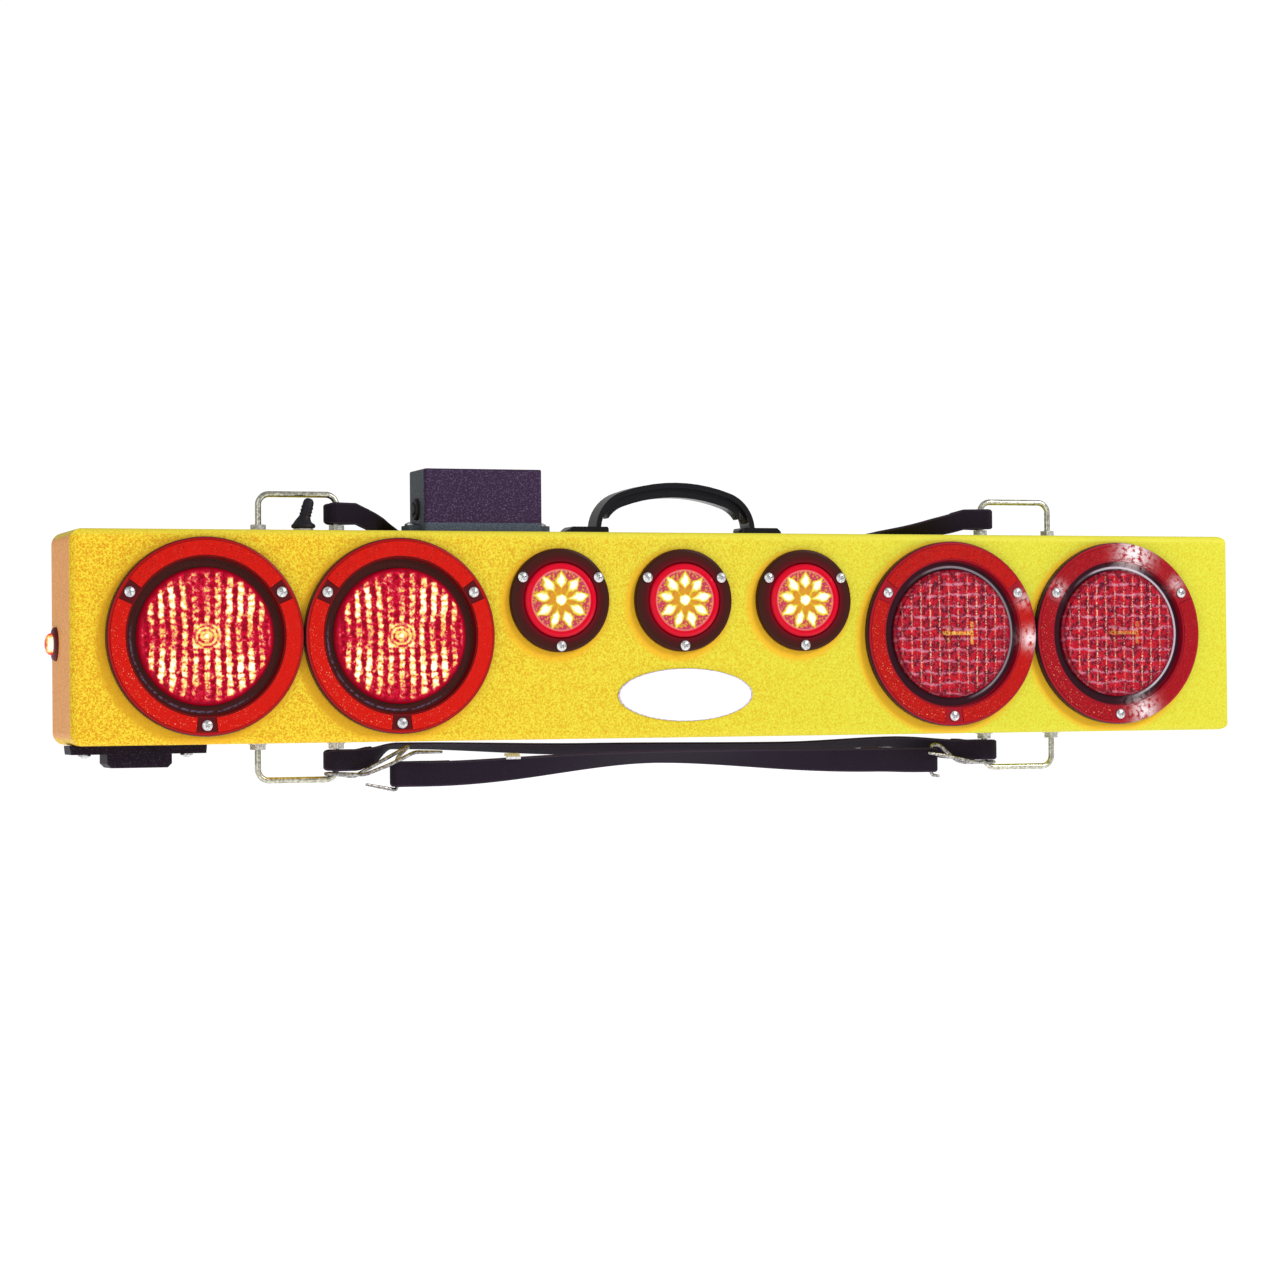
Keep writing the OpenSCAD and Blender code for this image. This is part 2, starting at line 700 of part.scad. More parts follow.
// One foot of the handle: a plate with round ends and a sloping outer tip
module handle_foot() {
    len = foot_out + leg_t + foot_in;
    intersection() {
        linear_extrude(foot_t) translate([foot_out - len / 2, 0]) rounded_rect(len, band_d, 5);
        rotate([90, 0, 0]) linear_extrude(band_d + 2 * cut, center = true) polygon([
            [foot_out - len, 0], [foot_out, 0], [foot_out, 1.6], [foot_out - 5, foot_t],
            [foot_out - len + 2, foot_t], [foot_out - len, foot_t - 2]
        ]);
    }
}

// Outline of an arch standing on the height z0: a crown arc that meets two shoulder arcs tangentially
function arch(half, rise, r, z0) = let (
    mid_x = half - r,
    crown_r = r + mid_x / sin(crown_angle),
    crown_z = rise - crown_r,
    shoulder_z = crown_z + mid_x / tan(crown_angle),
    right = [for (a = [0 : 0.1 : 1]) let (t = a * (90 - crown_angle)) [mid_x + r * cos(t), shoulder_z + r * sin(t)]],
    crown = [for (a = [0.1 : 0.1 : 0.95]) let (t = 90 - crown_angle + 2 * crown_angle * a)
        [crown_r * cos(t), crown_z + crown_r * sin(t)]]
) concat([[half, z0]], right, crown, [for (i = [len(right) - 1 : -1 : 0]) [-right[i][0], right[i][1]]], [[-half, z0]]);

// Carry handle: an outer band with a thicker rib inside it, on two feet
module carry_handle() {
    color([0.1, 0.1, 0.11])
    on_wall(1, handle_x, line_y) difference() {
        union() {
            rotate([90, 0, 0]) linear_extrude(band_d, center = true) difference() {
                polygon(arch(leg_x, handle_rise, shoulder_r, 0));
                polygon(arch(leg_x - band_t, handle_rise - band_t, shoulder_r - band_t, -cut));
            }
            rotate([90, 0, 0]) linear_extrude(rib_d, center = true) difference() {
                polygon(arch(leg_x - band_t / 2, handle_rise - band_t / 2, shoulder_r - band_t / 2, rib_z));
                polygon(arch(leg_x - leg_t, handle_rise - grip_t, shoulder_r - leg_t, rib_z - cut));
                for (s = [-1, 1]) polygon([
                    [s * (leg_x - band_t * 0.75), rib_z - cut], [s * (leg_x - leg_t * 1.5), rib_z - cut],
                    [s * (leg_x - leg_t * 1.5), rib_z + rib_run]
                ]);
            }
            for (s = [-1, 1]) mirror([s < 0 ? 1 : 0, 0, 0]) translate([leg_x, 0, 0]) handle_foot();
        }
        for (s = [-1, 1]) translate([s * foot_screw_x, 0, 0]) {
            translate([0, 0, -cut]) cylinder(r = bolt_hole_r, h = foot_t + 2 * cut);
            translate([0, 0, foot_t - bolt_head_h]) cylinder(r = bolt_head_r + clear, h = foot_t + cut);
        }
    }
}

// Base of the receiver box, with an ear at each end and posts for the board
module box_base() {
    spigot_h = 4;
    color([0.3, 0.32, 0.36])
    on_wall(1, box_x, box_y) difference() {
        union() {
            linear_extrude(base_h) rounded_rect(box_w, box_d, 3);
            for (s = [-1, 1]) translate([s * ear_x, 0, 0]) {
                translate([-s * 2, 0, 0]) linear_extrude(ear_t) rounded_rect(ear_len + 4, 22, 3);
            }
            translate([0, 0, base_h]) linear_extrude(spigot_h) difference() {
                rounded_rect(box_w - 2 * box_wall - 2 * clear, box_d - 2 * box_wall - 2 * clear, 2);
                rounded_rect(box_w - 2 * box_wall - 6, box_d - 2 * box_wall - 6, 1.5);
            }
            for (x = [-1, 1], y = [-1, 1])
                translate([x * (box_w / 2 - 10), y * (box_d / 2 - 10), 0]) cylinder(r = 3, h = base_h + post_h);
        }
        for (s = [-1, 1]) translate([s * ear_x, 0, -cut]) cylinder(r = bolt_hole_r, h = ear_t + 2 * cut);
        translate([0, 0, -cut]) cylinder(r = 6, h = base_h + 2 * cut);
        translate([0, 0, 2.4]) linear_extrude(base_h)
            rounded_rect(box_w - 2 * box_wall - 26, box_d - 2 * box_wall - 6, 1.5);
    }
}

// Lid of the receiver box: a hollow block with round upper edges
module box_lid() {
    lid_h = box_h - base_h;
    color([0.17, 0.13, 0.2])
    on_wall(1, box_x, box_y) translate([0, 0, base_h]) difference() {
        soft_block(box_w, box_d, lid_h, 3, box_edge_r);
        translate([0, 0, -cut]) linear_extrude(lid_h - box_wall + cut)
            rounded_rect(box_w - 2 * box_wall, box_d - 2 * box_wall, 1.2);
        translate([-box_w / 2 - cut, 0, plug_z - base_h]) rotate([0, 90, 0])
            cylinder(r = plug_d / 4 + clear, h = box_wall + 2 * cut);
    }
}

// Low round plug that closes the hole in the lid's left wall
module box_plug() {
    color([0.07, 0.07, 0.08])
    on_wall(1, box_x - box_w / 2, box_y) translate([0, 0, plug_z]) rotate([0, -90, 0])
        rotate_extrude() polygon([
            [0, -9], [plug_d / 4, -9], [plug_d / 4, 0], [plug_d / 2, 0], [plug_d / 2, 1.4],
            [plug_d / 2 - 1, 2.2], [plug_d / 2 - 2.4, 2.2], [plug_d / 2 - 2.8, 1.6],
            [plug_d / 2 - 4, 1.6], [plug_d / 2 - 4.6, 3], [0, 3]
        ]);
}

// Circuit board of the radio receiver, on the base's posts
module receiver_board() {
    board_w = box_w - 14;
    board_d = box_d - 14;
    color([0.1, 0.35, 0.2])
    on_wall(1, box_x, box_y) translate([0, 0, base_h + post_h]) {
        translate([-board_w / 2, -board_d / 2, 0]) cube([board_w, board_d, board_t]);
        translate([6, -8, board_t - 0.1]) cube([22, 16, 4.1]);
        translate([-26, -5, board_t - 0.1]) cube([14, 10, 9.1]);
        for (y = [-8, 8]) translate([-4, y, board_t - 0.1]) cylinder(r = 3, h = 8.1);
    }
}

// Switch body under the wall, with the threaded bush that comes up through it
module toggle_body() {
    color([0.15, 0.15, 0.17])
    on_wall(1, toggle_x, toggle_y) difference() {
        union() {
            translate([-14, -8, -sheet_t - 18]) cube([28, 16, 18]);
            for (x = [-9, 0, 9]) translate([x - 1.5, -3, -sheet_t - 25]) cube([3, 6, 7.1]);
            translate([0, 0, -sheet_t - 0.1]) cylinder(r = bush_r, h = sheet_t + 0.1 + bush_top - top_z);
        }
        translate([0, 0, pivot_z - top_z]) sphere(r = 3.5 + 0.3);
        translate([0, 0, pivot_z - top_z]) cylinder(r1 = 3.8, r2 = 5.2, h = 6);
    }
}

module toggle_nut() {
    color([0.75, 0.75, 0.73])
    on_wall(1, toggle_x, toggle_y) difference() {
        cylinder(r = 7.4, h = 1.6, $fn = 6);
        translate([0, 0, -cut]) cylinder(r = bush_r + 0.05, h = 1.6 + 2 * cut);
    }
}

// Put a piece at the lever's pivot, leaning as the lever does
module at_lever() {
    translate([toggle_x, toggle_y, pivot_z]) rotate([0, toggle_lean, 0]) children();
}

// Bat-shaped lever with a ball at its pivot
module toggle_lever() {
    color([0.8, 0.8, 0.8])
    at_lever() union() {
        sphere(r = 3.5);
        cylinder(r1 = lever_r, r2 = bat_r, h = lever_len - bat_r);
        translate([0, 0, lever_len - bat_r]) sphere(r = bat_r);
    }
}

// Rubber boot: an upright foot on the bush and a ribbed sleeve that leans with the lever
module toggle_boot() {
    sleeve_len = lever_len + clear + boot_wall;
    foot_top = boot_foot_z + boot_foot_h;
    color([0.06, 0.06, 0.07])
    difference() {
        union() {
            translate([toggle_x, toggle_y, boot_foot_z]) rotate_extrude() polygon([
                [0, 0], [boot_r - 0.8, 0], [boot_r, 0.8], [boot_r, boot_foot_h - 1.2],
                [boot_r - 1.2, boot_foot_h], [0, boot_foot_h]
            ]);
            at_lever() {
                translate([0, 0, -2.2]) cylinder(r1 = boot_r - 1.6, r2 = sleeve_r + 0.3, h = 6.6);
                cylinder(r = sleeve_r, h = sleeve_len - sleeve_r);
                for (h = [6, 8.6, 11.2]) translate([0, 0, h]) cylinder(r = sleeve_r + 0.5, h = 1);
                translate([0, 0, sleeve_len - sleeve_r]) sphere(r = sleeve_r);
            }
        }
        translate([toggle_x, toggle_y, boot_foot_z - cut]) cylinder(r = bush_r + 0.1, h = bush_top - boot_foot_z + cut + 0.3);
        translate([toggle_x, toggle_y, boot_foot_z - cut - 5]) cylinder(r = boot_r + 4, h = cut + 5);
        at_lever() {
            sphere(r = 4.4);
            cylinder(r1 = 4.2, r2 = sleeve_in_r, h = 4);
            cylinder(r = sleeve_in_r, h = lever_len + clear - sleeve_in_r);
            translate([0, 0, lever_len + clear - sleeve_in_r]) sphere(r = sleeve_in_r);
        }
    }
}

// Moulded block bolted under the board: a flange with sloping ends and a raised middle
module lower_block() {
    flange = block_flange_l / 2;
    mid = block_l / 2;
    slope = 3;
    color([0.12, 0.1, 0.13])
    on_wall(-1, block_x, line_y) difference() {
        intersection() {
            rotate([90, 0, 0]) linear_extrude(block_d, center = true) polygon([
                [-flange, 0], [flange, 0], [flange - 1, block_flange_t], [mid, block_flange_t],
                [mid, block_h - slope], [mid - slope, block_h], [slope - mid, block_h],
                [-mid, block_h - slope], [-mid, block_flange_t], [1 - flange, block_flange_t]
            ]);
            linear_extrude(block_h + cut) rounded_rect(block_flange_l, block_d, 4);
        }
        for (s = [-1, 1]) translate([s * block_screw_span / 2, 0, -cut])
            cylinder(r = bolt_hole_r, h = block_flange_t + 2 * cut);
    }
}

// Bare oval plate on the front face
module badge() {
    color([0.95, 0.96, 0.97])
    on_front(badge_x, -bar_height * badge_drop_share) linear_extrude(badge_t)
        scale([badge_w / 2, bar_height * badge_height_share / 2]) circle(1, $fn = 72);
}

// The doubled loop of a strap round an upright wire: dir is 1 where the strap leaves towards +X
module strap_eye(dir, width, r, len) {
    out_r = r + 2 * strap_t - seam;
    mirror([dir < 0 ? 1 : 0, 0, 0]) linear_extrude(width, center = true) difference() {
        union() {
            circle(out_r, $fn = 32);
            polygon([[0, out_r], [len, strap_t], [len, -strap_t], [0, -out_r]]);
        }
        circle(r, $fn = 32);
        polygon([[0, r], [len - 5, 0.2], [len - 5, -0.2], [0, -r]]);
    }
}

// Corners of a strap's section at a station [x, y, z, twist, thickness]
function strap_section(s, width) = [
    for (c = [[-1, -1], [1, -1], [1, 1], [-1, 1]]) let (y = c[0] * s[4] / 2, z = c[1] * width / 2)
        [s[0], s[1] + y * cos(s[3]) - z * sin(s[3]), s[2] + y * sin(s[3]) + z * cos(s[3])]
];

// Webbing swept through a list of stations that runs towards +X
module strap_run(stations, width) {
    last = 4 * (len(stations) - 1);
    sides = [for (i = [0 : 4 : last - 4], k = [0 : 3]) let (a = i + k, b = i + (k + 1) % 4)
        each [[a, a + 4, b + 4], [a, b + 4, b]]];
    polyhedron(
        points = [for (s = stations) each strap_section(s, width)],
        faces = concat([[0, 1, 2, 3]], sides, [[last + 3, last + 2, last + 1, last]])
    );
}

// Even steps from station a to station b, with the place and the twist eased in and out
function ease(t) = t * t * (3 - 2 * t);
function step_at(a, b, t) = let (d = b - a, e = ease(t)) a + [d[0] * t, d[1] * e, d[2] * e, d[3] * e, d[4] * t];
function between(a, b, n) = [for (k = [1 : n]) step_at(a, b, k / n)];

// Lashing strap that lies along the back of the top wall between the two top bails
module top_strap() {
    z = top_z + strap_drop;
    double_t = 2 * strap_t - seam;
    left = [top_leg_l + loop_len - 4, line_y, z, 0, double_t];
    left_sewn = [top_leg_l + strap_sewn, line_y + 3, z - 1, 12, double_t];
    left_flat = [box_x - box_w / 2 - 4, back_lane_y, flat_z, 90, strap_t];
    right_flat = [top_leg_r - 92, back_lane_y, flat_z, 90, strap_t];
    right_sewn = [top_leg_r - strap_sewn, line_y + 3, z - 1, 12, double_t];
    right = [top_leg_r - loop_len + 4, line_y, z, 0, double_t];
    color([0.1, 0.08, 0.11])
    union() {
        translate([top_leg_l, line_y, z]) strap_eye(1, strap_w, loop_r, loop_len);
        translate([top_leg_r, line_y, z]) strap_eye(-1, strap_w, loop_r, loop_len);
        strap_run(concat(
            [left, left_sewn], between(left_sewn, left_flat, 7),
            [right_flat], between(right_flat, right_sewn, 9), [right]
        ), strap_w - seam);
    }
}

// Lashing strap that hangs under the board between the two bottom bails
module bottom_strap() {
    z = -top_z - strap_drop;
    double_t = 2 * strap_t - seam;
    left = [low_leg_l + loop_len - 4, line_y, z, 0, double_t];
    right = [low_leg_r - loop_len + 4, line_y, z, 0, double_t];
    a = [low_leg_l + strap_sewn, line_y + 3, z + 2, 25, double_t];
    b = [-0.235 * bar_length, line_y + 5, -top_z - 3.6, 76, strap_t];
    c = [-0.07 * bar_length, line_y + 9, -top_z - 8, 60, strap_t];
    d = [0.1 * bar_length, line_y + 9, -top_z - 8.6, 66, strap_t];
    e = [0.2 * bar_length, line_y + 6, -top_z - 6.2, 62, strap_t];
    f = [low_leg_r - strap_sewn, line_y + 2, z + 1, 20, double_t];
    color([0.1, 0.08, 0.11])
    union() {
        translate([low_leg_l, line_y, z]) strap_eye(1, strap_w, loop_r, loop_len);
        translate([low_leg_r, line_y, z]) strap_eye(-1, strap_w, loop_r, loop_len);
        strap_run(concat(
            [left, a], between(a, b, 6), between(b, c, 5), between(c, d, 5), between(d, e, 5), between(e, f, 7), [right]
        ), strap_w - seam);
    }
}

// Stations of the hook strap: a sewn end on each hook's bar, leaning over in the middle
hook_sewn_l = [hook_bar_l + strap_sewn, hook_lane_y - 1, -top_z + hook_z_l, 12, 2 * strap_t - seam];
hook_middle = [-0.018 * bar_length, hook_lane_y - 8, -top_z - 14.2, 62, strap_t];
hook_sewn_r = [hook_bar_r - strap_sewn - 20, hook_lane_y - 1, -top_z + hook_z_r + 1, 16, 2 * strap_t - seam];
hook_run_l = between(hook_sewn_l, hook_middle, 10);
keeper_at = step_at(hook_sewn_l, hook_middle, 0.35);

module hook_strap() {
    left = [hook_bar_l + hook_loop_len - 4, hook_lane_y, -top_z + hook_z_l, 0, 2 * strap_t - seam];
    right = [hook_bar_r - hook_loop_len + 4, hook_lane_y, -top_z + hook_z_r, 0, 2 * strap_t - seam];
    color([0.1, 0.08, 0.11])
    union() {
        translate([hook_bar_l, hook_lane_y, -top_z + hook_z_l]) strap_eye(1, hook_strap_w, hook_eye_r, hook_loop_len);
        translate([hook_bar_r, hook_lane_y, -top_z + hook_z_r]) strap_eye(-1, hook_strap_w, hook_eye_r, hook_loop_len);
        strap_run(concat(
            [left, hook_sewn_l], hook_run_l, between(hook_middle, hook_sewn_r, 10), [right]
        ), hook_strap_w - seam);
    }
}

// Steel clip folded over the hook strap's upper edge
module strap_keeper() {
    gap = 0.9;
    wall = 0.7;
    clip_l = 11;
    clip_h = 1.2;
    across = keeper_at[4] + 2 * gap;
    edge = hook_strap_w / 2 + gap;
    color([0.8, 0.78, 0.76])
    translate([keeper_at[0], keeper_at[1], keeper_at[2]]) rotate([keeper_at[3], 0, 0])
        rotate([0, 90, 0]) linear_extrude(clip_l, center = true) difference() {
            translate([-edge - wall, -across / 2 - wall]) square([clip_h + wall, across + 2 * wall]);
            translate([-edge, -across / 2]) square([clip_h + cut, across]);
        }
}

// Round wire through a list of points
module wire(points, r) {
    for (i = [0 : len(points) - 2]) hull() {
        translate(points[i]) sphere(r = r, $fn = 12);
        translate(points[i + 1]) sphere(r = r, $fn = 12);
    }
}

// Points of a hook's bend round the lower end of a bail's leg, between the strap's loop and the bail's bar
hold_z = -top_z - (nut_h + soft_gap + strap_w + bail_rise - wire_r) / 2;
bend_y = wire_r + hook_r + 0.6;
function hook_bend(leg, dir) = [for (t = [-90 : 30 : 90])
    [leg - dir * (2.2 + (bend_y + 1.6) * cos(t)), line_y + bend_y * sin(t), hold_z]];

// Points given as distance from the leg, place in depth and height over the board's underside
function hook_part(leg, dir, points) = [for (p = points) [leg + dir * p[0], p[1], p[2] - top_z]];

module left_hook() {
    bar = hook_bar_l - low_leg_l;
    arm = hook_strap_w / 2 + hook_r + 0.8;
    color([0.8, 0.78, 0.76])
    wire(concat(
        hook_part(low_leg_l, 1, [
            [76, hook_front_y, -8.2], [55, hook_front_y, -8], [36, hook_front_y, -17],
            [20, line_y - bend_y - 1, -24]
        ]),
        hook_bend(low_leg_l, 1),
        hook_part(low_leg_l, 1, [
            [14, line_y + bend_y, -25.6], [36, hook_lane_y + 1.5, -12.6], [bar + 10, hook_lane_y, -3.1],
            [bar, hook_lane_y, hook_z_l + arm], [bar, hook_lane_y, hook_z_l - arm],
            [bar - 24, hook_lane_y - 3, hook_z_l - 7]
        ])
    ), hook_r);
}

module right_hook() {
    bar = low_leg_r - hook_bar_r;
    arm = hook_strap_w / 2 + hook_r + 0.8;
    color([0.8, 0.78, 0.76])
    wire(concat(
        hook_part(low_leg_r, -1, [
            [bar + 6, hook_front_y, -15], [bar - 7, hook_front_y, -17], [14, hook_front_y + 3, -22.6],
            [5, line_y - bend_y - 0.4, -23]
        ]),
        hook_bend(low_leg_r, -1),
        hook_part(low_leg_r, -1, [
            [14, line_y + bend_y, -23.5], [26, hook_lane_y + 1.5, -21.5], [bar - 7, hook_lane_y, hook_z_r + arm],
            [bar, hook_lane_y, hook_z_r + arm], [bar, hook_lane_y, hook_z_r - arm],
            [bar - 7, hook_lane_y, hook_z_r - arm - 1]
        ])
    ), hook_r);
}

// Sealed battery pack, standing on the bottom wall inside
module battery_pack() {
    pack_w = 150;
    pack_d = 38;
    pack_h = 36;
    color([0.2, 0.25, 0.5])
    translate([0, -cover_t - sheet_t - 4 - pack_d / 2, -top_z + sheet_t])
        soft_block(pack_w, pack_d, pack_h, 4, 3);
}

// Loom inside the pan: a trunk along the top with a drop to each lamp
module wiring_harness() {
    trunk_y = -cover_t - sheet_t - 14;
    trunk_z = 50;
    trunk_x = end_x - 34;
    drop_r = 1.8;
    trunk_r = 3.2;
    plug_r = 2.6;
    color([0.08, 0.08, 0.09])
    union() {
        translate([-trunk_x, trunk_y, trunk_z]) rotate([0, 90, 0]) cylinder(r = trunk_r, h = 2 * trunk_x);
        for (x = stop_xs) {
            translate([x, trunk_y, 0]) cylinder(r = drop_r, h = trunk_z);
            translate([x, trunk_y + plug_r, 0]) rotate([90, 0, 0])
                cylinder(r = plug_r, h = trunk_y + plug_r - front_y - stop_can_depth);
        }
        for (x = tail_xs) {
            translate([x, trunk_y, tail_z]) cylinder(r = drop_r, h = trunk_z - tail_z);
            translate([x, trunk_y + plug_r, tail_z]) rotate([90, 0, 0])
                cylinder(r = plug_r, h = trunk_y + plug_r - front_y - tail_can_depth);
        }
        for (s = [-1, 1]) {
            translate([s * (trunk_x - 4), trunk_y, -marker_drop]) cylinder(r = drop_r, h = trunk_z + marker_drop);
            translate([s * (trunk_x - 4 - plug_r), trunk_y, -marker_drop]) rotate([0, s * 90, 0])
                cylinder(r = plug_r, h = end_x - marker_in - trunk_x + 4 + plug_r);
        }
    }
}

housing_shell();
back_cover();
cover_screws();
at_stop(0) stop_bezel();  // stop1_bezel
at_stop(0) stop_reflectors();  // stop1_reflectors
at_stop(0) stop_lens();  // stop1_lens
at_stop(0) stop_can();  // stop1_can
at_stop(1) stop_bezel();  // stop2_bezel
at_stop(1) stop_reflectors();  // stop2_reflectors
at_stop(1) stop_lens();  // stop2_lens
at_stop(1) stop_can();  // stop2_can
at_stop(2) stop_bezel();  // stop3_bezel
at_stop(2) stop_reflectors();  // stop3_reflectors
at_stop(2) stop_lens();  // stop3_lens
at_stop(2) stop_can();  // stop3_can
at_stop(3) stop_bezel();  // stop4_bezel
at_stop(3) stop_reflectors();  // stop4_reflectors
at_stop(3) stop_lens();  // stop4_lens
at_stop(3) stop_can();  // stop4_can
stop_lamp_screws();
at_tail(0) tail_flange();  // tail1_flange
at_tail(0) tail_lens();  // tail1_lens
at_tail(0) tail_can();  // tail1_can
at_tail(1) tail_flange();  // tail2_flange
at_tail(1) tail_lens();  // tail2_lens
at_tail(1) tail_can();  // tail2_can
at_tail(2) tail_flange();  // tail3_flange
at_tail(2) tail_lens();  // tail3_lens
at_tail(2) tail_can();  // tail3_can
tail_lamp_screws();
on_end(-1) marker_lens();  // marker_left_lens
on_end(-1) marker_grommet();  // marker_left_grommet
on_end(1) marker_lens();  // marker_right_lens
on_end(1) marker_grommet();  // marker_right_grommet
bail(1, top_bails[0]);  // bail_top_left
bail(1, top_bails[1]);  // bail_top_right
bail(-1, bottom_bails[0]);  // bail_bottom_left
bail(-1, bottom_bails[1]);  // bail_bottom_right
bail_nuts();
inner_nuts();
carry_handle();
mounting_screws();
box_base();
box_lid();
box_plug();
receiver_board();
toggle_body();
toggle_nut();
toggle_lever();
toggle_boot();
lower_block();
strap_keeper();
badge();
top_strap();
bottom_strap();
hook_strap();
left_hook();
right_hook();
battery_pack();
wiring_harness();
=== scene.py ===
import math

import bpy
from mathutils import Matrix, Vector


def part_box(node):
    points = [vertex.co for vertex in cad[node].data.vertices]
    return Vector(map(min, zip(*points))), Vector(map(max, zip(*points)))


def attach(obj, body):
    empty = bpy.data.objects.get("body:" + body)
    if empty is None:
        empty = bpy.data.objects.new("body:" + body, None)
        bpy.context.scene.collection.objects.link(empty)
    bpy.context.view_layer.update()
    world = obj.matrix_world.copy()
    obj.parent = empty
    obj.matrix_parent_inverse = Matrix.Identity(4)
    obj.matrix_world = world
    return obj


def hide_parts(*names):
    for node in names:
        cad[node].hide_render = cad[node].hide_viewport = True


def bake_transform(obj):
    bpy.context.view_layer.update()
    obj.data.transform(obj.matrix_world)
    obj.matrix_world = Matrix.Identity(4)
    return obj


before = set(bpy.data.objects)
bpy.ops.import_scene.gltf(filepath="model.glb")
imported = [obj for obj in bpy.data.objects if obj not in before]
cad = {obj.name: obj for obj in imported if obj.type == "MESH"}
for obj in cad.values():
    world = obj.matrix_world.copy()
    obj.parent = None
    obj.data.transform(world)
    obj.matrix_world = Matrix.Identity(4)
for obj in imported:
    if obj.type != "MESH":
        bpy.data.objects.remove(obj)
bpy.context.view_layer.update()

MM = 0.001
LIT_STOPS = ["stop1", "stop2"]
UNLIT_STOPS = ["stop3", "stop4"]
STOPS = LIT_STOPS + UNLIT_STOPS
TAILS = ["tail1", "tail2", "tail3"]

# Places and sizes of the solids, in millimetres

END_X = 457.2
TOP_Z = 76.2
UNDERSIDE = -76.2
STOP_FLANGE_R = 70.5
TAIL_FLANGE_R = 38.1


def centre_of(node):
    low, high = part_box(node)
    return (Vector(low) + Vector(high)) / 2


def nothing_selected():
    bpy.ops.object.select_all(action="DESELECT")


# The camera stands left of the board and a little below it, as the photograph was taken

CAMERA_AT = Vector((-0.8403, -2.3314, -0.0389))
CAMERA_YAW = math.radians(19.583)
CAMERA_PITCH = math.radians(0.844)
CAMERA_ROLL = math.radians(-0.538)
CAMERA_LENS = 91.06
CAMERA_SHIFT = 0.002


def place_camera():
    forward = Vector((
        math.sin(CAMERA_YAW) * math.cos(CAMERA_PITCH),
        math.cos(CAMERA_YAW) * math.cos(CAMERA_PITCH),
        math.sin(CAMERA_PITCH),
    ))
    level_right = Vector((math.cos(CAMERA_YAW), -math.sin(CAMERA_YAW), 0))
    level_up = level_right.cross(forward)
    right = math.cos(CAMERA_ROLL) * level_right + math.sin(CAMERA_ROLL) * level_up
    up = right.cross(forward)
    nothing_selected()
    bpy.ops.object.camera_add(location=CAMERA_AT)
    camera = bpy.context.object
    camera.name = "camera"
    camera.matrix_world = Matrix((
        (right.x, up.x, -forward.x, CAMERA_AT.x),
        (right.y, up.y, -forward.y, CAMERA_AT.y),
        (right.z, up.z, -forward.z, CAMERA_AT.z),
        (0, 0, 0, 1),
    ))
    camera.data.sensor_width = 36
    camera.data.lens = CAMERA_LENS
    camera.data.shift_x = CAMERA_SHIFT
    camera.data.clip_end = 50
    bpy.context.scene.camera = camera


# Materials are built from a few small steps: a node, a sum and a colour ramp

def new_finish(name, color, roughness, metallic=0.0, gloss=0.2):
    """A Principled material; gloss is its specular level."""
    mat = bpy.data.materials.new(name)
    mat.use_nodes = True
    tree = mat.node_tree
    shader = tree.nodes["Principled BSDF"]
    shader.inputs["Base Color"].default_value = (*color, 1)
    shader.inputs["Roughness"].default_value = roughness
    shader.inputs["Metallic"].default_value = metallic
    shader.inputs["Specular IOR Level"].default_value = gloss
    return mat, tree, shader


def add_node(tree, kind, **settings):
    node = tree.nodes.new(kind)
    for key, value in settings.items():
        setattr(node, key, value)
    return node


def feed(tree, socket, value):
    if isinstance(value, bpy.types.NodeSocket):
        tree.links.new(value, socket)
    else:
        socket.default_value = value


def calc(tree, operation, a, b=0.0, clamp=False):
    node = add_node(tree, "ShaderNodeMath", operation=operation, use_clamp=clamp)
    feed(tree, node.inputs[0], a)
    feed(tree, node.inputs[1], b)
    return node.outputs[0]


def mix_colors(tree, factor, a, b):
    node = add_node(tree, "ShaderNodeMix", data_type="RGBA")
    feed(tree, node.inputs["Factor"], factor)
    feed(tree, node.inputs["A"], a if isinstance(a, bpy.types.NodeSocket) else (*a, 1))
    feed(tree, node.inputs["B"], b if isinstance(b, bpy.types.NodeSocket) else (*b, 1))
    return node.outputs["Result"]


def ramp(tree, value, stops, span=1.0):
    """A colour ramp through (place, colour) stops, whose places are counted up to span."""
    node = add_node(tree, "ShaderNodeValToRGB")
    elements = node.color_ramp.elements
    while len(elements) < len(stops):
        elements.new(0.5)
    for element, (place, color) in zip(elements, stops):
        element.position = place / span
        element.color = (*color, 1)
    feed(tree, node.inputs["Fac"], calc(tree, "DIVIDE", value, span))
    return node.outputs["Color"]


def object_place(tree, centre=(0, 0, 0)):
    """Millimetres from a centre, as the sockets x, y and z."""
    coords = add_node(tree, "ShaderNodeTexCoord")
    shift = add_node(tree, "ShaderNodeMapping")
    shift.inputs["Location"].default_value = [-c * 1000 for c in centre]
    shift.inputs["Scale"].default_value = (1000, 1000, 1000)
    tree.links.new(coords.outputs["Object"], shift.inputs["Vector"])
    split = add_node(tree, "ShaderNodeSeparateXYZ")
    tree.links.new(shift.outputs["Vector"], split.inputs[0])
    return shift.outputs["Vector"], split.outputs["X"], split.outputs["Y"], split.outputs["Z"]


def noise(tree, vector, scale, detail=2.0, roughness=0.5):
    node = add_node(tree, "ShaderNodeTexNoise")
    feed(tree, node.inputs["Vector"], vector)
    node.inputs["Scale"].default_value = scale
    node.inputs["Detail"].default_value = detail
    node.inputs["Roughness"].default_value = roughness
    return node.outputs["Fac"]


def cell_edges(tree, vector, scale):
    """How far each place lies from the edge of its cell."""
    node = add_node(tree, "ShaderNodeTexVoronoi", feature="DISTANCE_TO_EDGE")
    feed(tree, node.inputs["Vector"], vector)
    node.inputs["Scale"].default_value = scale
    return node.outputs["Distance"]


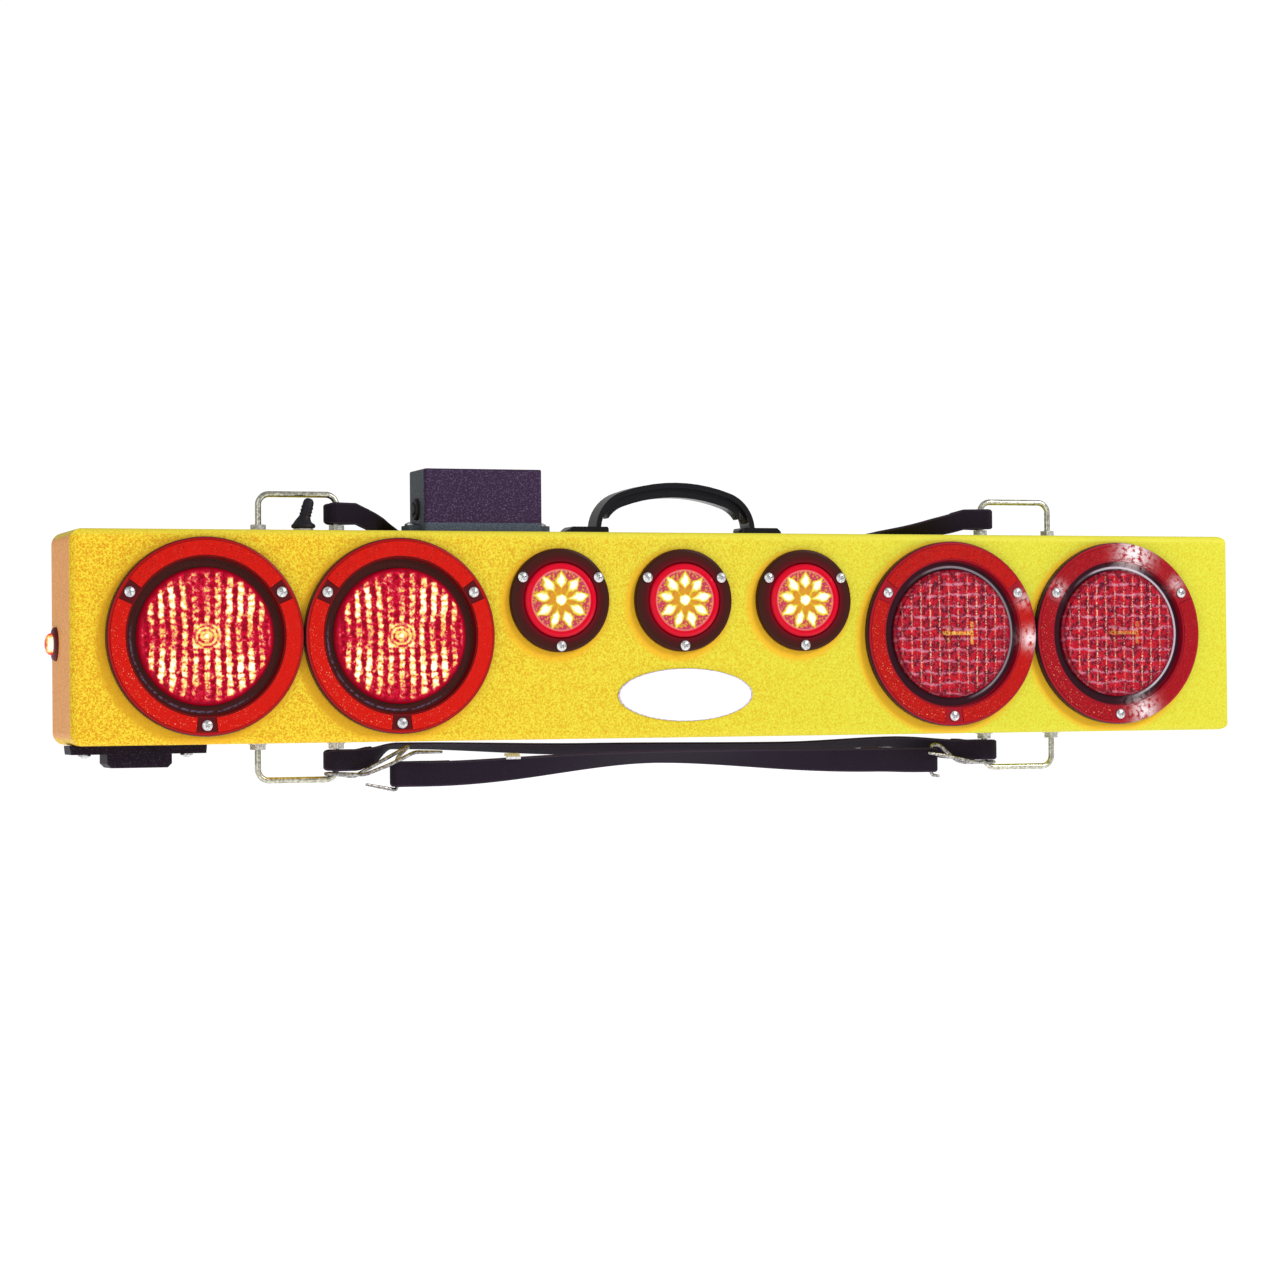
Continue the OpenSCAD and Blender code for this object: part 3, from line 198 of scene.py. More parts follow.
def bump(tree, shader, height, distance, strength):
    node = add_node(tree, "ShaderNodeBump")
    node.inputs["Distance"].default_value = distance
    node.inputs["Strength"].default_value = strength
    feed(tree, node.inputs["Height"], height)
    tree.links.new(node.outputs["Normal"], shader.inputs["Normal"])


def radius_of(tree, x, z):
    return calc(tree, "SQRT", calc(tree, "ADD", calc(tree, "MULTIPLY", x, x), calc(tree, "MULTIPLY", z, z)))


def scaled(tree, value, factor, offset):
    return calc(tree, "ADD", calc(tree, "MULTIPLY", value, factor), offset)


def mixed(tree, share, first, last):
    """A number that goes from first to last as share goes from 0 to 1."""
    return scaled(tree, share, last - first, first)


def combined(tree, operation, values):
    """All the values joined by one operation, such as their sum or the largest of them."""
    result = values[0]
    for value in values[1:]:
        result = calc(tree, operation, result, value)
    return result


def product(tree, *values):
    return combined(tree, "MULTIPLY", values)


def smooth_step(tree, value, low, high):
    """0 at low and 1 at high, smooth between and flat beyond; low may lie above high."""
    node = add_node(tree, "ShaderNodeMapRange", interpolation_type="SMOOTHSTEP")
    feed(tree, node.inputs["Value"], value)
    feed(tree, node.inputs["From Min"], low)
    feed(tree, node.inputs["From Max"], high)
    return node.outputs["Result"]


def band(tree, value, rise, fall):
    """0, then 1, then 0 again; rise and fall are each the places of 0 and of 1."""
    return calc(tree, "MULTIPLY", smooth_step(tree, value, *rise), smooth_step(tree, value, *fall))


def hill(tree, x, z, at_x, at_z, width, height):
    """A round hill at a place."""
    dx = calc(tree, "SUBTRACT", x, at_x)
    dz = calc(tree, "SUBTRACT", z, at_z)
    squared = calc(tree, "ADD", calc(tree, "MULTIPLY", dx, dx), calc(tree, "MULTIPLY", dz, dz))
    rise = calc(tree, "EXPONENT", calc(tree, "DIVIDE", squared, -2 * width * width))
    return calc(tree, "MULTIPLY", rise, height)


def hills(tree, x, z, places):
    """Hills added up, each given as its x and z, width and height."""
    return combined(tree, "ADD", [hill(tree, x, z, *place) for place in places])


def light_up(tree, shader, colors, shade, share, strength):
    """A lens that shines in its colours, with its own surface darkened towards shade by share."""
    feed(tree, shader.inputs["Base Color"], mix_colors(tree, share, colors, shade))
    feed(tree, shader.inputs["Emission Color"], colors)
    shader.inputs["Emission Strength"].default_value = strength


# Yellow powder coat with a fine pebbled skin, and painted light and shade on it: golden towards the left and
# lemon towards the right as painted light from the key, a paler top edge as a painted highlight, a light brown
# left end face as painted shade, and a painted orange shadow on the front beside the lower left of each lamp

def yellow_powder_coat():
    mat, tree, shader = new_finish("yellow powder coat", (0.70, 0.55, 0.02), 0.5)
    vector, x, y, z = object_place(tree)
    # Painted light: golden at the left end and lemon towards the right, brighter where the key light falls; the
    # grains follow it
    along = smooth_step(tree, x, -430.0, 300.0)
    body = mix_colors(tree, along, (0.74, 0.42, 0.008), (0.60, 0.565, 0.026))
    grain = noise(tree, vector, 0.85, 2.0, 0.7)
    light_spots = mix_colors(tree, along, (0.84, 0.68, 0.035), (0.66, 0.64, 0.05))
    high = smooth_step(tree, grain, 0.50, 0.56)
    body = mix_colors(tree, calc(tree, "MULTIPLY", high, 0.85), body, light_spots)
    dark_spots = mix_colors(tree, along, (0.62, 0.27, 0.003), (0.62, 0.40, 0.012))
    low = smooth_step(tree, grain, mixed(tree, along, 0.47, 0.41), mixed(tree, along, 0.40, 0.36))
    body = mix_colors(tree, calc(tree, "MULTIPLY", low, 0.85), body, dark_spots)
    # Painted shadow: an orange ring beside the lower left of each flange, on the front, where the flange's
    # shadow from the key light falls
    rings = []
    aside = 3.2
    for lamp in STOPS + TAILS:
        flange, flange_r = ("_bezel", STOP_FLANGE_R) if lamp in STOPS else ("_flange", TAIL_FLANGE_R)
        middle = centre_of(lamp + flange) * 1000
        dx = calc(tree, "SUBTRACT", x, middle.x - aside)
        dz = calc(tree, "SUBTRACT", z, middle.z - aside)
        rings.append(smooth_step(tree, radius_of(tree, dx, dz), flange_r + 6.5, flange_r + 0.5))
    on_front = smooth_step(tree, y, -74.0, -77.0)
    painted_flange_shadow = product(tree, combined(tree, "MAXIMUM", rings), on_front, 0.8)
    body = mix_colors(tree, painted_flange_shadow, body, (0.80, 0.40, 0.008))
    # Painted highlight: the top edge is paler, where it turns up to the light
    top = smooth_step(tree, z, TOP_Z - 7.2, TOP_Z - 0.7)
    body = mix_colors(tree, calc(tree, "MULTIPLY", top, 0.6), body, (0.80, 0.74, 0.06))
    # Painted shade: the left end face, turned away from the key light, is light brown
    left_end = smooth_step(tree, x, 1.8 - END_X, 0.2 - END_X)
    behind_front = smooth_step(tree, y, -75.0, -71.5)
    painted_end_shade = mix_colors(tree, smooth_step(tree, grain, 0.44, 0.58), (0.68, 0.27, 0.055), (0.86, 0.42, 0.15))
    body = mix_colors(tree, calc(tree, "MULTIPLY", left_end, behind_front), body, painted_end_shade)
    feed(tree, shader.inputs["Base Color"], body)
    bump(tree, shader, grain, 0.0003, 0.35)
    return mat


# Flange of a stop lamp: painted shade in the groove round the lens, a red step, dark red land, red rim with a
# dark edge. In the groove a lit lamp has a painted gleam at the lower left, and an unlit one a painted silver
# highlight along the groove's edge

SHINE = (0.92, 0.80, 0.82)


def stop_bezel_plastic(lamp):
    unlit = lamp in UNLIT_STOPS
    mat, tree, shader = new_finish(lamp + " flange plastic", (0.2, 0.01, 0.01), 0.3, gloss=0.12)
    vector, x, _, z = object_place(tree, centre_of(lamp + "_bezel"))
    radius = radius_of(tree, x, z)
    # Painted shade: the groove round the lens is near black
    groove_shade = (0.030, 0.004, 0.010) if unlit else (0.052, 0.008, 0.005)
    step = (0.30, 0.004, 0.016) if unlit else (0.17, 0.002, 0.003)
    land = (0.28, 0.006, 0.014) if unlit else (0.085, 0.004, 0.006)
    rim = (0.34, 0.005, 0.014) if unlit else (0.36, 0.004, 0.004)
    edge = (0.03, 0.006, 0.016)
    body = ramp(tree, radius, [
        (0.0, groove_shade), (54.6, groove_shade), (56.2, step), (57.4, land),
        (67.0, land), (68.4, rim), (69.4, rim), (70.1, edge),
    ], 72.0)
    if unlit:
        turned = calc(tree, "ADD", calc(tree, "MULTIPLY", x, 0.012), calc(tree, "MULTIPLY", z, 0.006))
        patchy = smooth_step(tree, calc(tree, "ADD", noise(tree, vector, 0.05, 2.0), turned), 0.25, 0.75)
        strength = 0.85 if lamp == "stop4" else 0.35
        # Painted highlight: a broken silver line along the groove's edge, where it catches the light
        groove_edge_highlight = product(tree, band(tree, radius, (50.0, 50.6), (52.3, 51.5)), patchy, strength)
        body = mix_colors(tree, groove_edge_highlight, body, (0.62, 0.56, 0.64))
        body = mix_colors(tree, red_shine(tree, vector, x, z, lamp), body, SHINE)
    else:
        low_left = smooth_step(tree, calc(tree, "ADD", calc(tree, "MULTIPLY", x, 0.6), z), -14.0, -44.0)
        broken = smooth_step(tree, noise(tree, vector, 0.5, 2.0), 0.38, 0.55)
        gleam = product(tree, band(tree, radius, (52.3, 52.9), (54.3, 53.6)), low_left, broken, 0.75)
        body = mix_colors(tree, gleam, body, (0.16, 0.11, 0.20))
        speckle = smooth_step(tree, noise(tree, vector, 1.0, 2.0), 0.56, 0.62)
        in_groove = smooth_step(tree, radius, 56.0, 54.5)
        body = mix_colors(tree, calc(tree, "MULTIPLY", speckle, in_groove), body, (0.013, 0.006, 0.012))
    feed(tree, shader.inputs["Base Color"], body)
    bump(tree, shader, noise(tree, vector, 0.9, 2.0), 0.00012, 0.3)
    return mat


def red_shine(tree, vector, x, z, lamp):
    """Where an unlit lamp catches the light: above and below on the right one, at the side on the left one."""
    places = [(14.0, 62.0, 9.0, 0.95), (21.0, -60.0, 7.0, 0.8), (-52.0, 34.0, 4.0, 0.5), (50.0, 38.0, 4.0, 0.4)]
    if lamp == "stop3":
        places = [(65.0, -4.0, 5.0, 0.8), (60.0, 26.0, 4.0, 0.4)]
    broken = smooth_step(tree, noise(tree, vector, 0.30, 2.0, 0.6), 0.30, 0.56)
    return calc(tree, "MULTIPLY", hills(tree, x, z, places), broken, clamp=True)


# Prismatic reflector: red with fine cells, dark patches towards the top and bright grains at the lower left

def red_reflector(lamp):
    unlit = lamp in UNLIT_STOPS
    base = {"stop3": (0.46, 0.006, 0.004), "stop4": (0.34, 0.004, 0.010)}.get(lamp, (0.58, 0.0065, 0.002))
    mat, tree, shader = new_finish(lamp + " reflector", base, 0.3, gloss=0.1)
    vector, x, _, z = object_place(tree, centre_of(lamp + "_bezel"))
    line = smooth_step(tree, cell_edges(tree, vector, 0.62), 0.02, 0.12)
    depth = 0.62 if unlit else 0.86
    body = mix_colors(tree, line, [c * depth for c in base], base)
    upper = scaled(tree, smooth_step(tree, z, -10.0, 60.0), 0.75, 0.15)
    patch = smooth_step(tree, noise(tree, vector, 0.045, 1.0), 0.36, 0.62)
    speck = smooth_step(tree, noise(tree, vector, 1.3, 2.0, 0.6), 0.42, 0.34)
    body = mix_colors(tree, product(tree, upper, patch, speck), body, (0.075, 0.003, 0.003))
    low_left = scaled(tree, smooth_step(tree, calc(tree, "ADD", x, z), 10.0, -70.0), 0.7, 0.15)
    grain = smooth_step(tree, noise(tree, vector, 1.1, 2.0), 0.66, 0.71)
    body = mix_colors(tree, calc(tree, "MULTIPLY", grain, low_left), body, (0.85, 0.34, 0.20))
    if unlit:
        body = mix_colors(tree, red_shine(tree, vector, x, z, lamp), body, SHINE)
    feed(tree, shader.inputs["Base Color"], body)
    bump(tree, shader, line, 0.00015, 0.3)
    return mat


# Stop lenses: the pitch of the upright flutes, of the beads along a lit one, of the rings round its hub and of
# the bars across an unlit one, in millimetres

FLUTE_PITCH = 7.77
BEAD_PITCH = 5.6
RING_PITCH = 3.0
BAR_PITCH = 8.4


def lit_stop_lens(lamp):
    """Flutes of white and yellow beads on deep red, brightest in four patches, round a hub of yellow rings."""
    mat, tree, shader = new_finish(lamp + " lit lens", (0.12, 0.0, 0.005), 0.2, gloss=0.1)
    vector, x, _, z = object_place(tree, centre_of(lamp + "_lens"))
    radius = radius_of(tree, x, z)
    drift = noise(tree, vector, 0.07, 2.0, 0.6)
    jitter = noise(tree, vector, 0.30, 3.0, 0.75)
    sway = calc(tree, "MULTIPLY", calc(tree, "SUBTRACT", drift, 0.5), 14.0)
    bow = product(tree, z, z, x, 0.00006)
    across = calc(tree, "ADD", calc(tree, "SUBTRACT", x, bow), calc(tree, "MULTIPLY", sway, 0.25))
    column = calc(tree, "COSINE", calc(tree, "MULTIPLY", across, 2 * math.pi / FLUTE_PITCH))
    column = smooth_step(tree, column, -0.75, 0.85)
    row = calc(tree, "COSINE", calc(tree, "MULTIPLY", calc(tree, "ADD", z, sway), 2 * math.pi / BEAD_PITCH))
    bead = calc(tree, "MULTIPLY", column, scaled(tree, row, 0.24, 0.72))
    glow = hills(tree, x, z, [
        (-25.5, 26.0, 9.0, 0.66), (20.5, 26.0, 9.0, 0.66), (-25.5, -26.0, 9.5, 0.70), (20.5, -27.0, 9.0, 0.68),
        (34.0, 19.0, 8.0, 0.40), (34.0, -19.0, 8.0, 0.42), (-37.0, 16.0, 6.0, 0.28), (-37.0, -18.0, 6.0, 0.34),
        (0.0, 0.0, 11.0, 0.40), (0.0, -20.0, 8.0, 0.30), (-12.0, 0.0, 6.0, 0.2), (12.0, 0.0, 6.0, 0.2),
    ])
    rough = calc(tree, "MULTIPLY", calc(tree, "SUBTRACT", jitter, 0.5), 1.6)
    flutes = combined(tree, "ADD", [
        calc(tree, "MULTIPLY", bead, calc(tree, "ADD", glow, 0.26)),
        calc(tree, "MULTIPLY", rough, scaled(tree, glow, 0.5, 0.85)),
        0.13,
    ])
    oval = radius_of(tree, calc(tree, "MULTIPLY", x, 0.88), z)
    ring = calc(tree, "COSINE", calc(tree, "MULTIPLY", oval, 2 * math.pi / RING_PITCH))
    rings = combined(tree, "ADD", [
        calc(tree, "MULTIPLY", ring, 0.12),
        scaled(tree, rough, 0.75, 0.43),
        calc(tree, "MULTIPLY", smooth_step(tree, oval, 3.0, 0.6), 0.5),
    ])
    hub = smooth_step(tree, oval, 11.0, 7.5)
    outside = calc(tree, "MULTIPLY", flutes, calc(tree, "SUBTRACT", 1.0, hub))
    level = calc(tree, "ADD", outside, calc(tree, "MULTIPLY", rings, hub))
    level = calc(tree, "MULTIPLY", level, smooth_step(tree, radius, 48.6, 44.0))
    colors = ramp(tree, level, [
        (0.0, (0.20, 0.0, 0.006)), (0.12, (0.40, 0.0, 0.020)), (0.26, (0.62, 0.003, 0.020)),
        (0.34, (0.68, 0.07, 0.14)), (0.42, (0.80, 0.34, 0.12)), (0.52, (0.90, 0.72, 0.10)),
        (0.64, (0.98, 0.92, 0.42)), (0.80, (1.0, 1.0, 0.92)),
    ])
    light_up(tree, shader, colors, (0.06, 0.0, 0.003), 0.88, 0.9)
    return mat


def plain_stop_lens(lamp):
    """Dark red with a pale grid of flute edges and the glint of the lamp's bulb in the middle."""
    mat, tree, shader = new_finish(lamp + " lens", (0.4, 0.004, 0.02), 0.2, gloss=0.2)
    vector, x, _, z = object_place(tree, centre_of(lamp + "_lens"))
    radius = radius_of(tree, x, z)
    jitter = noise(tree, vector, 0.26, 3.0, 0.75)
    fine = noise(tree, vector, 0.7, 2.0, 0.7)
    sway = calc(tree, "MULTIPLY", calc(tree, "SUBTRACT", noise(tree, vector, 0.10, 2.0), 0.5), 7.0)
    across = calc(tree, "ADD", x, calc(tree, "MULTIPLY", sway, 0.15))
    upright = calc(tree, "COSINE", calc(tree, "MULTIPLY", across, math.pi / FLUTE_PITCH))
    upright = smooth_step(tree, calc(tree, "ABSOLUTE", upright), 0.40, 0.04)
    bars = calc(tree, "COSINE", calc(tree, "MULTIPLY", calc(tree, "ADD", z, sway), math.pi / BAR_PITCH))
    bars = smooth_step(tree, calc(tree, "ABSOLUTE", bars), 0.55, 0.10)
    patches = hills(tree, x, z, [(sx * 21.0, sz * 20.0, 13.0, 1.0) for sx in (-1, 1) for sz in (-1, 1)])
    light = product(tree, upright, smooth_step(tree, fine, 0.44, 0.60), scaled(tree, patches, 0.85, 0.20))
    haze = product(tree, bars, smooth_step(tree, jitter, 0.42, 0.58), 0.75)
    deep = mix_colors(tree, smooth_step(tree, jitter, 0.40, 0.56), (0.11, 0.0, 0.012), (0.46, 0.002, 0.014))
    grain = calc(tree, "MULTIPLY", smooth_step(tree, fine, 0.58, 0.68), 0.6)
    deep = mix_colors(tree, grain, deep, (0.50, 0.11, 0.22))
    colors = mix_colors(tree, haze, deep, (0.52, 0.22, 0.32))
    colors = mix_colors(tree, light, colors, (0.80, 0.55, 0.36))
    dimmed = 0.8 if lamp == "stop3" else 0.4
    strips = []
    for low_x, high_x, low_z, high_z, power in (
        (-9.0, 16.0, -0.6, 1.6, 0.95), (14.6, 16.6, -8.0, 9.0, 0.9), (-5.0, -3.4, -7.0, 5.0, 0.5),
    ):
        in_x = band(tree, x, (low_x - 0.8, low_x + 0.4), (high_x + 0.8, high_x - 0.4))
        in_z = band(tree, z, (low_z - 0.8, low_z + 0.4), (high_z + 0.8, high_z - 0.4))
        strips.append(product(tree, in_x, in_z, power * dimmed))
    glint = product(tree, combined(tree, "MAXIMUM", strips), smooth_step(tree, fine, 0.36, 0.54))
    colors = mix_colors(tree, glint, colors, (0.88, 0.52, 0.08))
    rim = calc(tree, "MULTIPLY", smooth_step(tree, radius, 44.5, 47.5), 0.6)
    colors = mix_colors(tree, rim, colors, (0.20, 0.0, 0.01))
    feed(tree, shader.inputs["Base Color"], colors)
    return mat


# Tail lamp: a nearly black flange with a painted dark red glow of the lit lens beside the lens, and a lens of
# light petals

PETALS = 9


def tail_flange_plastic(lamp):
    mat, tree, shader = new_finish(lamp + " flange plastic", (0.045, 0.007, 0.004), 0.35, gloss=0.12)
    vector, x, _, z = object_place(tree, centre_of(lamp + "_flange"))
    # Painted light: dark red beside the lens, the lit lens's glow on the flange, fading to near black outwards
    body = ramp(tree, radius_of(tree, x, z), [
        (0.0, (0.1, 0.0, 0.01)), (27.6, (0.13, 0.0, 0.006)), (31.5, (0.060, 0.003, 0.004)),
        (34.0, (0.042, 0.007, 0.004)), (40.0, (0.036, 0.008, 0.005)),
    ], 40.0)
    feed(tree, shader.inputs["Base Color"], body)
    bump(tree, shader, noise(tree, vector, 1.2, 2.0), 0.00015, 0.3)
    return mat


def lit_tail_lens(lamp):
    """Petals of light with yellow edges round a bright heart, inside a red ring."""
    mat, tree, shader = new_finish(lamp + " lit lens", (0.12, 0.0, 0.005), 0.2, gloss=0.12)
    vector, x, _, z = object_place(tree, centre_of(lamp + "_lens"))
    radius = radius_of(tree, x, z)
    petal_angle = 2 * math.pi / PETALS
    angle = calc(tree, "SUBTRACT", calc(tree, "ARCTAN2", z, x), math.pi / 2)
    turn = calc(tree, "FRACT", calc(tree, "ADD", calc(tree, "DIVIDE", angle, petal_angle), PETALS + 0.5))
    off_axis = calc(tree, "MULTIPLY", calc(tree, "ABSOLUTE", calc(tree, "SUBTRACT", turn, 0.5)), petal_angle)
    aside = calc(tree, "MULTIPLY", off_axis, radius)
    half_width = calc(tree, "MULTIPLY", band(tree, radius, (6.5, 14.5), (22.4, 14.6)), 3.9)
    petal = smooth_step(tree, calc(tree, "SUBTRACT", half_width, aside), -2.9, 4.0)
    heart = smooth_step(tree, radius, 6.2, 1.6)
    rough = calc(tree, "SUBTRACT", noise(tree, vector, 0.40, 3.0, 0.75), 0.5)
    uneven = calc(tree, "SUBTRACT", noise(tree, vector, 0.16, 1.0), 0.5)
    level = combined(tree, "ADD", [
        calc(tree, "MAXIMUM", petal, heart),
        calc(tree, "MULTIPLY", rough, 0.95),
        calc(tree, "MULTIPLY", uneven, 0.7),
    ])
    between = mix_colors(tree, smooth_step(tree, radius, 7.0, 18.0), (0.62, 0.28, 0.02), (0.46, 0.045, 0.10))
    grain = smooth_step(tree, noise(tree, vector, 0.6, 2.0), 0.50, 0.62)
    between = mix_colors(tree, grain, between, (0.58, 0.36, 0.03))
    colors = ramp(tree, level, [
        (0.0, (0.50, 0.10, 0.05)), (0.22, (0.58, 0.32, 0.015)), (0.36, (0.62, 0.50, 0.02)),
        (0.50, (0.78, 0.72, 0.07)), (0.64, (1.0, 0.95, 0.40)), (0.80, (1.0, 1.0, 0.90)),
    ])
    colors = mix_colors(tree, smooth_step(tree, level, 0.34, 0.18), colors, between)
    colors = mix_colors(tree, smooth_step(tree, radius, 21.8, 22.6), colors, (0.62, 0.002, 0.018))
    halo = calc(tree, "MULTIPLY", band(tree, radius, (21.2, 21.9), (23.2, 22.4)), 0.6)
    colors = mix_colors(tree, halo, colors, (0.74, 0.26, 0.24))
    # Painted shade: dark red at the lens's border beside the flange
    colors = mix_colors(tree, smooth_step(tree, radius, 25.6, 27.4), colors, (0.36, 0.0, 0.008))
    light_up(tree, shader, colors, (0.10, 0.0, 0.004), 0.85, 0.88)
    return mat


def lit_marker_lens(node):
    """White and yellow light inside a red dome: its tip and its foot stay red."""
    mat, tree, shader = new_finish(node + " lit lens", (0.12, 0.0, 0.005), 0.15, gloss=0.2)
    vector, x, _, z = object_place(tree)
    out = calc(tree, "SUBTRACT", calc(tree, "ABSOLUTE", x), END_X)
    middle = centre_of(node) * 1000
    height = calc(tree, "ABSOLUTE", calc(tree, "SUBTRACT", z, middle.z))
    light = product(tree, band(tree, out, (1.0, 3.4), (8.4, 5.6)), smooth_step(tree, height, 8.2, 3.0))
    rough = calc(tree, "SUBTRACT", noise(tree, vector, 0.5, 3.0, 0.7), 0.5)
    level = calc(tree, "ADD", light, calc(tree, "MULTIPLY", rough, 0.9))
    colors = ramp(tree, level, [
        (0.0, (0.50, 0.002, 0.02)), (0.25, (0.70, 0.02, 0.04)), (0.45, (0.95, 0.45, 0.04)),
        (0.62, (1.0, 0.86, 0.25)), (0.80, (1.0, 1.0, 0.88)),
    ])
    light_up(tree, shader, colors, (0.2, 0.0, 0.01), 0.8, 0.85)
    return mat


def moulded_plastic(name, color, roughness, gloss=0.2, fleck=None):
    """Moulded plastic or rubber with a fine skin; fleck is the colour of its light grains."""
    mat, tree, shader = new_finish(name, color, roughness, gloss=gloss)
    vector = object_place(tree)[0]
    skin = noise(tree, vector, 0.8, 3.0, 0.6)
    darker, lighter = [c * 0.75 for c in color], [c * 1.3 for c in color]
    body = mix_colors(tree, smooth_step(tree, skin, 0.35, 0.70), darker, lighter)
    if fleck:
        grains = smooth_step(tree, noise(tree, vector, 1.0, 2.0, 0.7), 0.56, 0.66)
        body = mix_colors(tree, grains, body, fleck)
    feed(tree, shader.inputs["Base Color"], body)
    bump(tree, shader, skin, 0.00012, 0.5)
    return mat


def box_lid_plastic():
    """Dark purple with light flecks on the front and top, slate on the face towards the left end."""
    mat, tree, shader = new_finish("box lid plastic", (0.05, 0.018, 0.06), 0.45, gloss=0.15)
    vector, x, _, _ = object_place(tree)
    fleck = smooth_step(tree, noise(tree, vector, 0.8, 2.0, 0.7), 0.55, 0.60)
    front = mix_colors(tree, calc(tree, "MULTIPLY", fleck, 0.75), (0.030, 0.010, 0.038), (0.085, 0.070, 0.130))
    side = mix_colors(tree, fleck, (0.030, 0.036, 0.050), (0.085, 0.110, 0.135))
    left_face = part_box("box_lid")[0][0] * 1000
    on_side = smooth_step(tree, x, left_face + 0.5, left_face + 0.1)
    feed(tree, shader.inputs["Base Color"], mix_colors(tree, on_side, front, side))
    bump(tree, shader, fleck, 0.0001, 0.4)
    return mat


def bright_wire(name="bright wire", dull=(0.36, 0.35, 0.28), bright=(0.62, 0.61, 0.52)):
    """Plated wire, dull where the plating is thin."""
    mat, tree, shader = new_finish(name, bright, 0.22, 1.0, gloss=0.5)
    streaks = noise(tree, object_place(tree)[0], 0.45, 3.0, 0.6)
    body = mix_colors(tree, smooth_step(tree, streaks, 0.42, 0.60), dull, bright)
    feed(tree, shader.inputs["Base Color"], body)
    feed(tree, shader.inputs["Roughness"], scaled(tree, streaks, 0.25, 0.18))
    return mat


def zinc_plate():
    mat, tree, shader = new_finish("zinc plate", (0.72, 0.72, 0.70), 0.34, 1.0, gloss=0.5)
    bloom = noise(tree, object_place(tree)[0], 0.8, 3.0, 0.6)
    body = mix_colors(tree, smooth_step(tree, bloom, 0.38, 0.68), (0.40, 0.40, 0.42), (0.82, 0.82, 0.80))
    feed(tree, shader.inputs["Base Color"], body)
    return mat


def white_enamel():
    """White oval plate with a thin purple line, faint in places, near its edge."""
    low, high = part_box("badge")
    mat, tree, shader = new_finish("white enamel", (0.92, 0.92, 0.93), 0.25)
    vector, x, _, z = object_place(tree, centre_of("badge"))
    half_w = (high[0] - low[0]) * 500
    half_h = (high[2] - low[2]) * 500
    radius = radius_of(tree, calc(tree, "DIVIDE", x, half_w), calc(tree, "DIVIDE", z, half_h))
    patchy = smooth_step(tree, noise(tree, vector, 0.6, 2.0), 0.35, 0.60)
    line = calc(tree, "MULTIPLY", smooth_step(tree, radius, 0.965, 0.985), scaled(tree, patchy, 0.4, 0.5))
    feed(tree, shader.inputs["Base Color"], mix_colors(tree, line, (0.93, 0.93, 0.95), (0.30, 0.22, 0.42)))
    bump(tree, shader, noise(tree, vector, 0.5, 2.0), 0.0001, 0.3)
    return mat


def black_webbing(name, width, length, sewn):
    """Diagonal weave that follows the strap, with a zigzag of thread where its ends are sewn double."""
    mat, tree, shader = new_finish(name, (0.010, 0.008, 0.012), 0.8, gloss=0.05)
    coords = add_node(tree, "ShaderNodeTexCoord")
    split = add_node(tree, "ShaderNodeSeparateXYZ")
    tree.links.new(coords.outputs["UV"], split.inputs[0])
    along = calc(tree, "MULTIPLY", split.outputs["X"], length)
    across = calc(tree, "MULTIPLY", split.outputs["Y"], width)
    thread = 2 * math.pi / 1.7
    warp = calc(tree, "SINE", calc(tree, "MULTIPLY", calc(tree, "ADD", across, along), thread))
    weft = calc(tree, "SINE", calc(tree, "MULTIPLY", calc(tree, "SUBTRACT", across, along), thread))
    weave = smooth_step(tree, calc(tree, "ADD", warp, weft), -1.3, 1.5)
    body = mix_colors(tree, weave, (0.006, 0.004, 0.008), (0.026, 0.017, 0.032))
    off_middle = calc(tree, "ABSOLUTE", calc(tree, "SUBTRACT", across, width / 2))
    selvage = smooth_step(tree, off_middle, width / 2 - 1.6, width / 2 - 0.9)
    body = mix_colors(tree, calc(tree, "MULTIPLY", selvage, 0.7), body, (0.040, 0.028, 0.046))
    step, margin = 5.0, 2.5
    from_end = calc(tree, "MINIMUM", along, calc(tree, "SUBTRACT", length, along))
    zigzag = calc(tree, "MULTIPLY", calc(tree, "PINGPONG", from_end, step), (width - 2 * margin) / step)
    off_thread = calc(tree, "ABSOLUTE", calc(tree, "SUBTRACT", calc(tree, "SUBTRACT", across, margin), zigzag))
    in_end = smooth_step(tree, from_end, sewn, sewn - 1)
    stitch = calc(tree, "MULTIPLY", smooth_step(tree, off_thread, 1.0, 0.4), in_end)
    body = mix_colors(tree, calc(tree, "MULTIPLY", stitch, 0.6), body, (0.060, 0.045, 0.065))
    feed(tree, shader.inputs["Base Color"], body)
    shader.inputs["Sheen Weight"].default_value = 0.04
    bump(tree, shader, calc(tree, "ADD", weave, stitch), 0.0003, 0.7)
    return mat


def paint(finish, *names):
    for name in names:
        slots = cad[name].data.materials
        if len(slots) == 0:
            slots.append(finish)
        for i in range(len(slots)):
            slots[i] = finish


